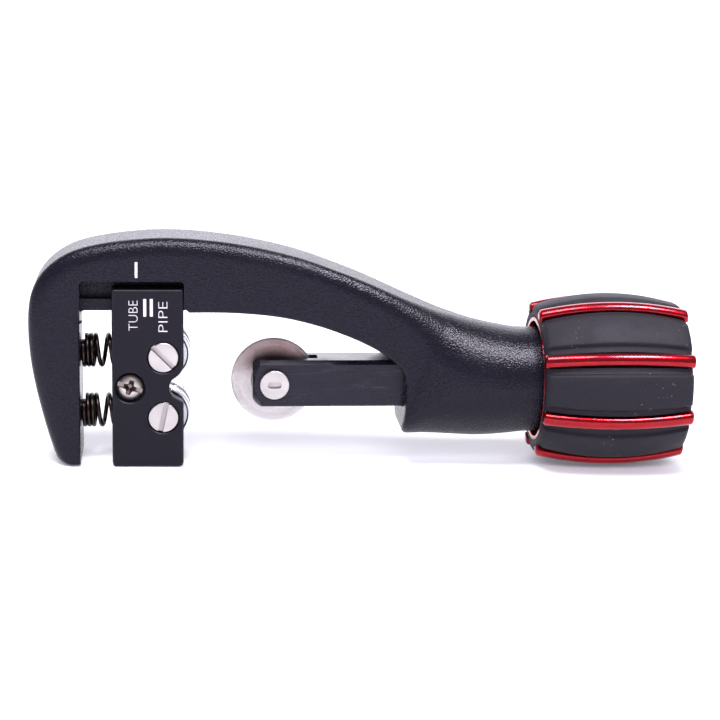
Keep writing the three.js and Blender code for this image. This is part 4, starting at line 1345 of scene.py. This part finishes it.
def satin_plastic():
    """Moulded black plastic with a fine eroded skin."""
    material, tree, shader, place = start_finish("moulded black plastic", Specular_IOR_Level=0.4)
    skin = noise(tree, place, 3400.0, 4.0, 0.65)
    marks = use_group(tree, "Handling Marks", place, Patch=150.0, Hairs=400.0)
    tone = remap(tree, skin, 0.35, 0.65, 0.0, 1.0)
    feed(tree, shader.inputs["Base Color"],
         blend_colours(tree, tone, (0.020, 0.020, 0.022), (0.034, 0.034, 0.037)))
    feed(tree, shader.inputs["Roughness"], remap(tree, marks["Smudge"], 0.0, 1.0, 0.42, 0.58))
    raise_surface(tree, shader, skin, 0.00003)
    return material


# ---------------------------------------------------------------- studio


def floor_finish():
    """Pale matt paper with a barely uneven tone."""
    material, tree, shader, place = start_finish("pale paper", Roughness=0.9, Specular_IOR_Level=0.1)
    tone = noise(tree, place, 14.0, 3.0, 0.5)
    feed(tree, shader.inputs["Base Color"],
         blend_colours(tree, remap(tree, tone, 0.3, 0.7, 0.0, 1.0), (0.93, 0.93, 0.94), (0.90, 0.90, 0.915)))
    feed(tree, shader.inputs["Emission Color"], (0.92, 0.90, 1.0))
    feed(tree, shader.inputs["Emission Strength"], 0.15)
    return material


def aim(obj, target):
    """Turns an object at its place so that it looks at target."""
    obj.rotation_euler = (Vector(target) - obj.location).to_track_quat("-Z", "Y").to_euler()


class PIPECUTTER_OT_studio(bpy.types.Operator):
    """Lays the pale floor and sets the lights and the camera"""

    bl_idname = "pipe_cutter.studio"
    bl_label = "Studio"

    def execute(self, context):
        settings = context.scene.cutter_studio
        self.floor()
        self.sky(context.scene, settings.sky)
        self.lamps(settings.lamp, settings.backdrop)
        self.camera(context.scene, settings)
        context.scene.view_settings.view_transform = "Standard"
        return {"FINISHED"}

    def floor(self):
        """A disc of rings whose radii grow as the cube of the ring's number. It touches the knob and the
        carriage's foot, and so leans by under a degree against the feed axis."""
        ring = (np.linspace(0, 1, 24) ** 3 * 6000.0)[:, None]
        angle = np.linspace(0, FULL_TURN, 96, endpoint=False)
        x, y = ring * np.cos(angle), ring * np.sin(angle)
        knob, foot = middle("knob_grip")[0], span("carriage_near_half")[0]
        lean = (foot[2] + AXIS_HEIGHT) / (knob - foot[0])
        points = np.stack([x, y, lean * (knob - x) - AXIS_HEIGHT], axis=-1)
        mesh = closed_mesh("floor", points, quads(24, 96, wrap_cols=True))
        mesh.materials.append(floor_finish())
        floor = bpy.data.objects.new("floor", mesh)
        bpy.context.scene.collection.objects.link(floor)

    def sky(self, scene, strength):
        world = bpy.data.worlds.new("soft studio")
        world.use_nodes = True
        background = world.node_tree.nodes["Background"]
        background.inputs["Color"].default_value = (0.94, 0.92, 1.0, 1.0)
        background.inputs["Strength"].default_value = strength
        scene.world = world

    def panel(self, name, place, target, width, height, brightness, colour, diffuse=True, gloss=True):
        """A rectangular lamp that the camera does not see. Brightness is what its surface shows."""
        data = bpy.data.lights.new(name, "AREA")
        data.shape = "RECTANGLE"
        data.size, data.size_y = width, height
        data.energy = brightness * 4 * width * height
        data.color = colour
        lamp = bpy.data.objects.new(name, data)
        lamp.location = place
        aim(lamp, target)
        lamp.visible_camera = False
        lamp.visible_diffuse = diffuse
        lamp.visible_glossy = gloss
        bpy.context.scene.collection.objects.link(lamp)

    def lamps(self, softbox, backdrop):
        centre = (0, 0, 0.02)
        self.panel("softbox", (-0.10, -0.38, 0.92), centre, 0.40, 0.30, softbox, (1.0, 0.985, 1.0))
        self.panel("glint", (0.36, -0.36, 0.84), centre, 0.34, 0.24, softbox * 2.4, (1.0, 0.985, 1.0),
                   diffuse=False)
        self.panel("front fill", (0.05, -0.80, 0.50), centre, 0.60, 0.40, softbox * 0.34, (0.91, 0.90, 1.0),
                   gloss=False)
        self.panel("backdrop", (0, 3.9, 1.95), centre, 7.8, 3.4, backdrop, (0.92, 0.91, 1.0))

    def camera(self, scene, settings):
        a, e, r = settings.azimuth, settings.elevation, settings.roll
        back = Vector((math.sin(a) * math.cos(e), -math.cos(a) * math.cos(e), math.sin(e)))
        right = (-back).cross(Vector((0, 0, 1))).normalized()
        up = right.cross(-back)
        tilted_right = right * math.cos(r) + up * math.sin(r)
        tilted_up = up * math.cos(r) - right * math.sin(r)
        target = Vector((0.35, 0, AXIS_HEIGHT + 4.1)) * MM
        data = bpy.data.cameras.new("camera")
        data.sensor_width, data.lens = 36.0, settings.lens
        camera = bpy.data.objects.new("camera", data)
        turn = Matrix((tilted_right, tilted_up, back)).transposed().to_4x4()
        camera.matrix_world = Matrix.Translation(target + back * settings.distance) @ turn
        scene.collection.objects.link(camera)
        scene.camera = camera


# ---------------------------------------------------------------- panel and registration

STEPS = (
    PIPECUTTER_OT_casting, PIPECUTTER_OT_carriage, PIPECUTTER_OT_marks, PIPECUTTER_OT_rollers,
    PIPECUTTER_OT_screws, PIPECUTTER_OT_springs, PIPECUTTER_OT_slide, PIPECUTTER_OT_wheel,
    PIPECUTTER_OT_feed, PIPECUTTER_OT_knob, PIPECUTTER_OT_studio,
)


class PIPECUTTER_PT_panel(bpy.types.Panel):
    """Lists the pieces in the order in which they are built"""

    bl_idname = "PIPECUTTER_PT_panel"
    bl_label = "Pipe Cutter"
    bl_space_type = "VIEW_3D"
    bl_region_type = "UI"
    bl_category = "Pipe Cutter"

    def draw(self, context):
        for step in STEPS:
            self.layout.operator(step.bl_idname)


GROUPS = {
    "cutter_sizes": PipeCutterSizes, "cutter_finishes": PipeCutterFinishes, "cutter_studio": PipeCutterStudio,
}


def register():
    for cls in (*GROUPS.values(), *STEPS, PIPECUTTER_PT_panel):
        bpy.utils.register_class(cls)
    for name, group in GROUPS.items():
        setattr(bpy.types.Scene, name, bpy.props.PointerProperty(type=group))


def unregister():
    for name in GROUPS:
        delattr(bpy.types.Scene, name)
    for cls in (PIPECUTTER_PT_panel, *reversed(STEPS), *reversed(GROUPS.values())):
        bpy.utils.unregister_class(cls)


def main():
    register()
    for step in STEPS:
        category, action = step.bl_idname.split(".")
        getattr(getattr(bpy.ops, category), action)()


if __name__ == "__main__":
    main()
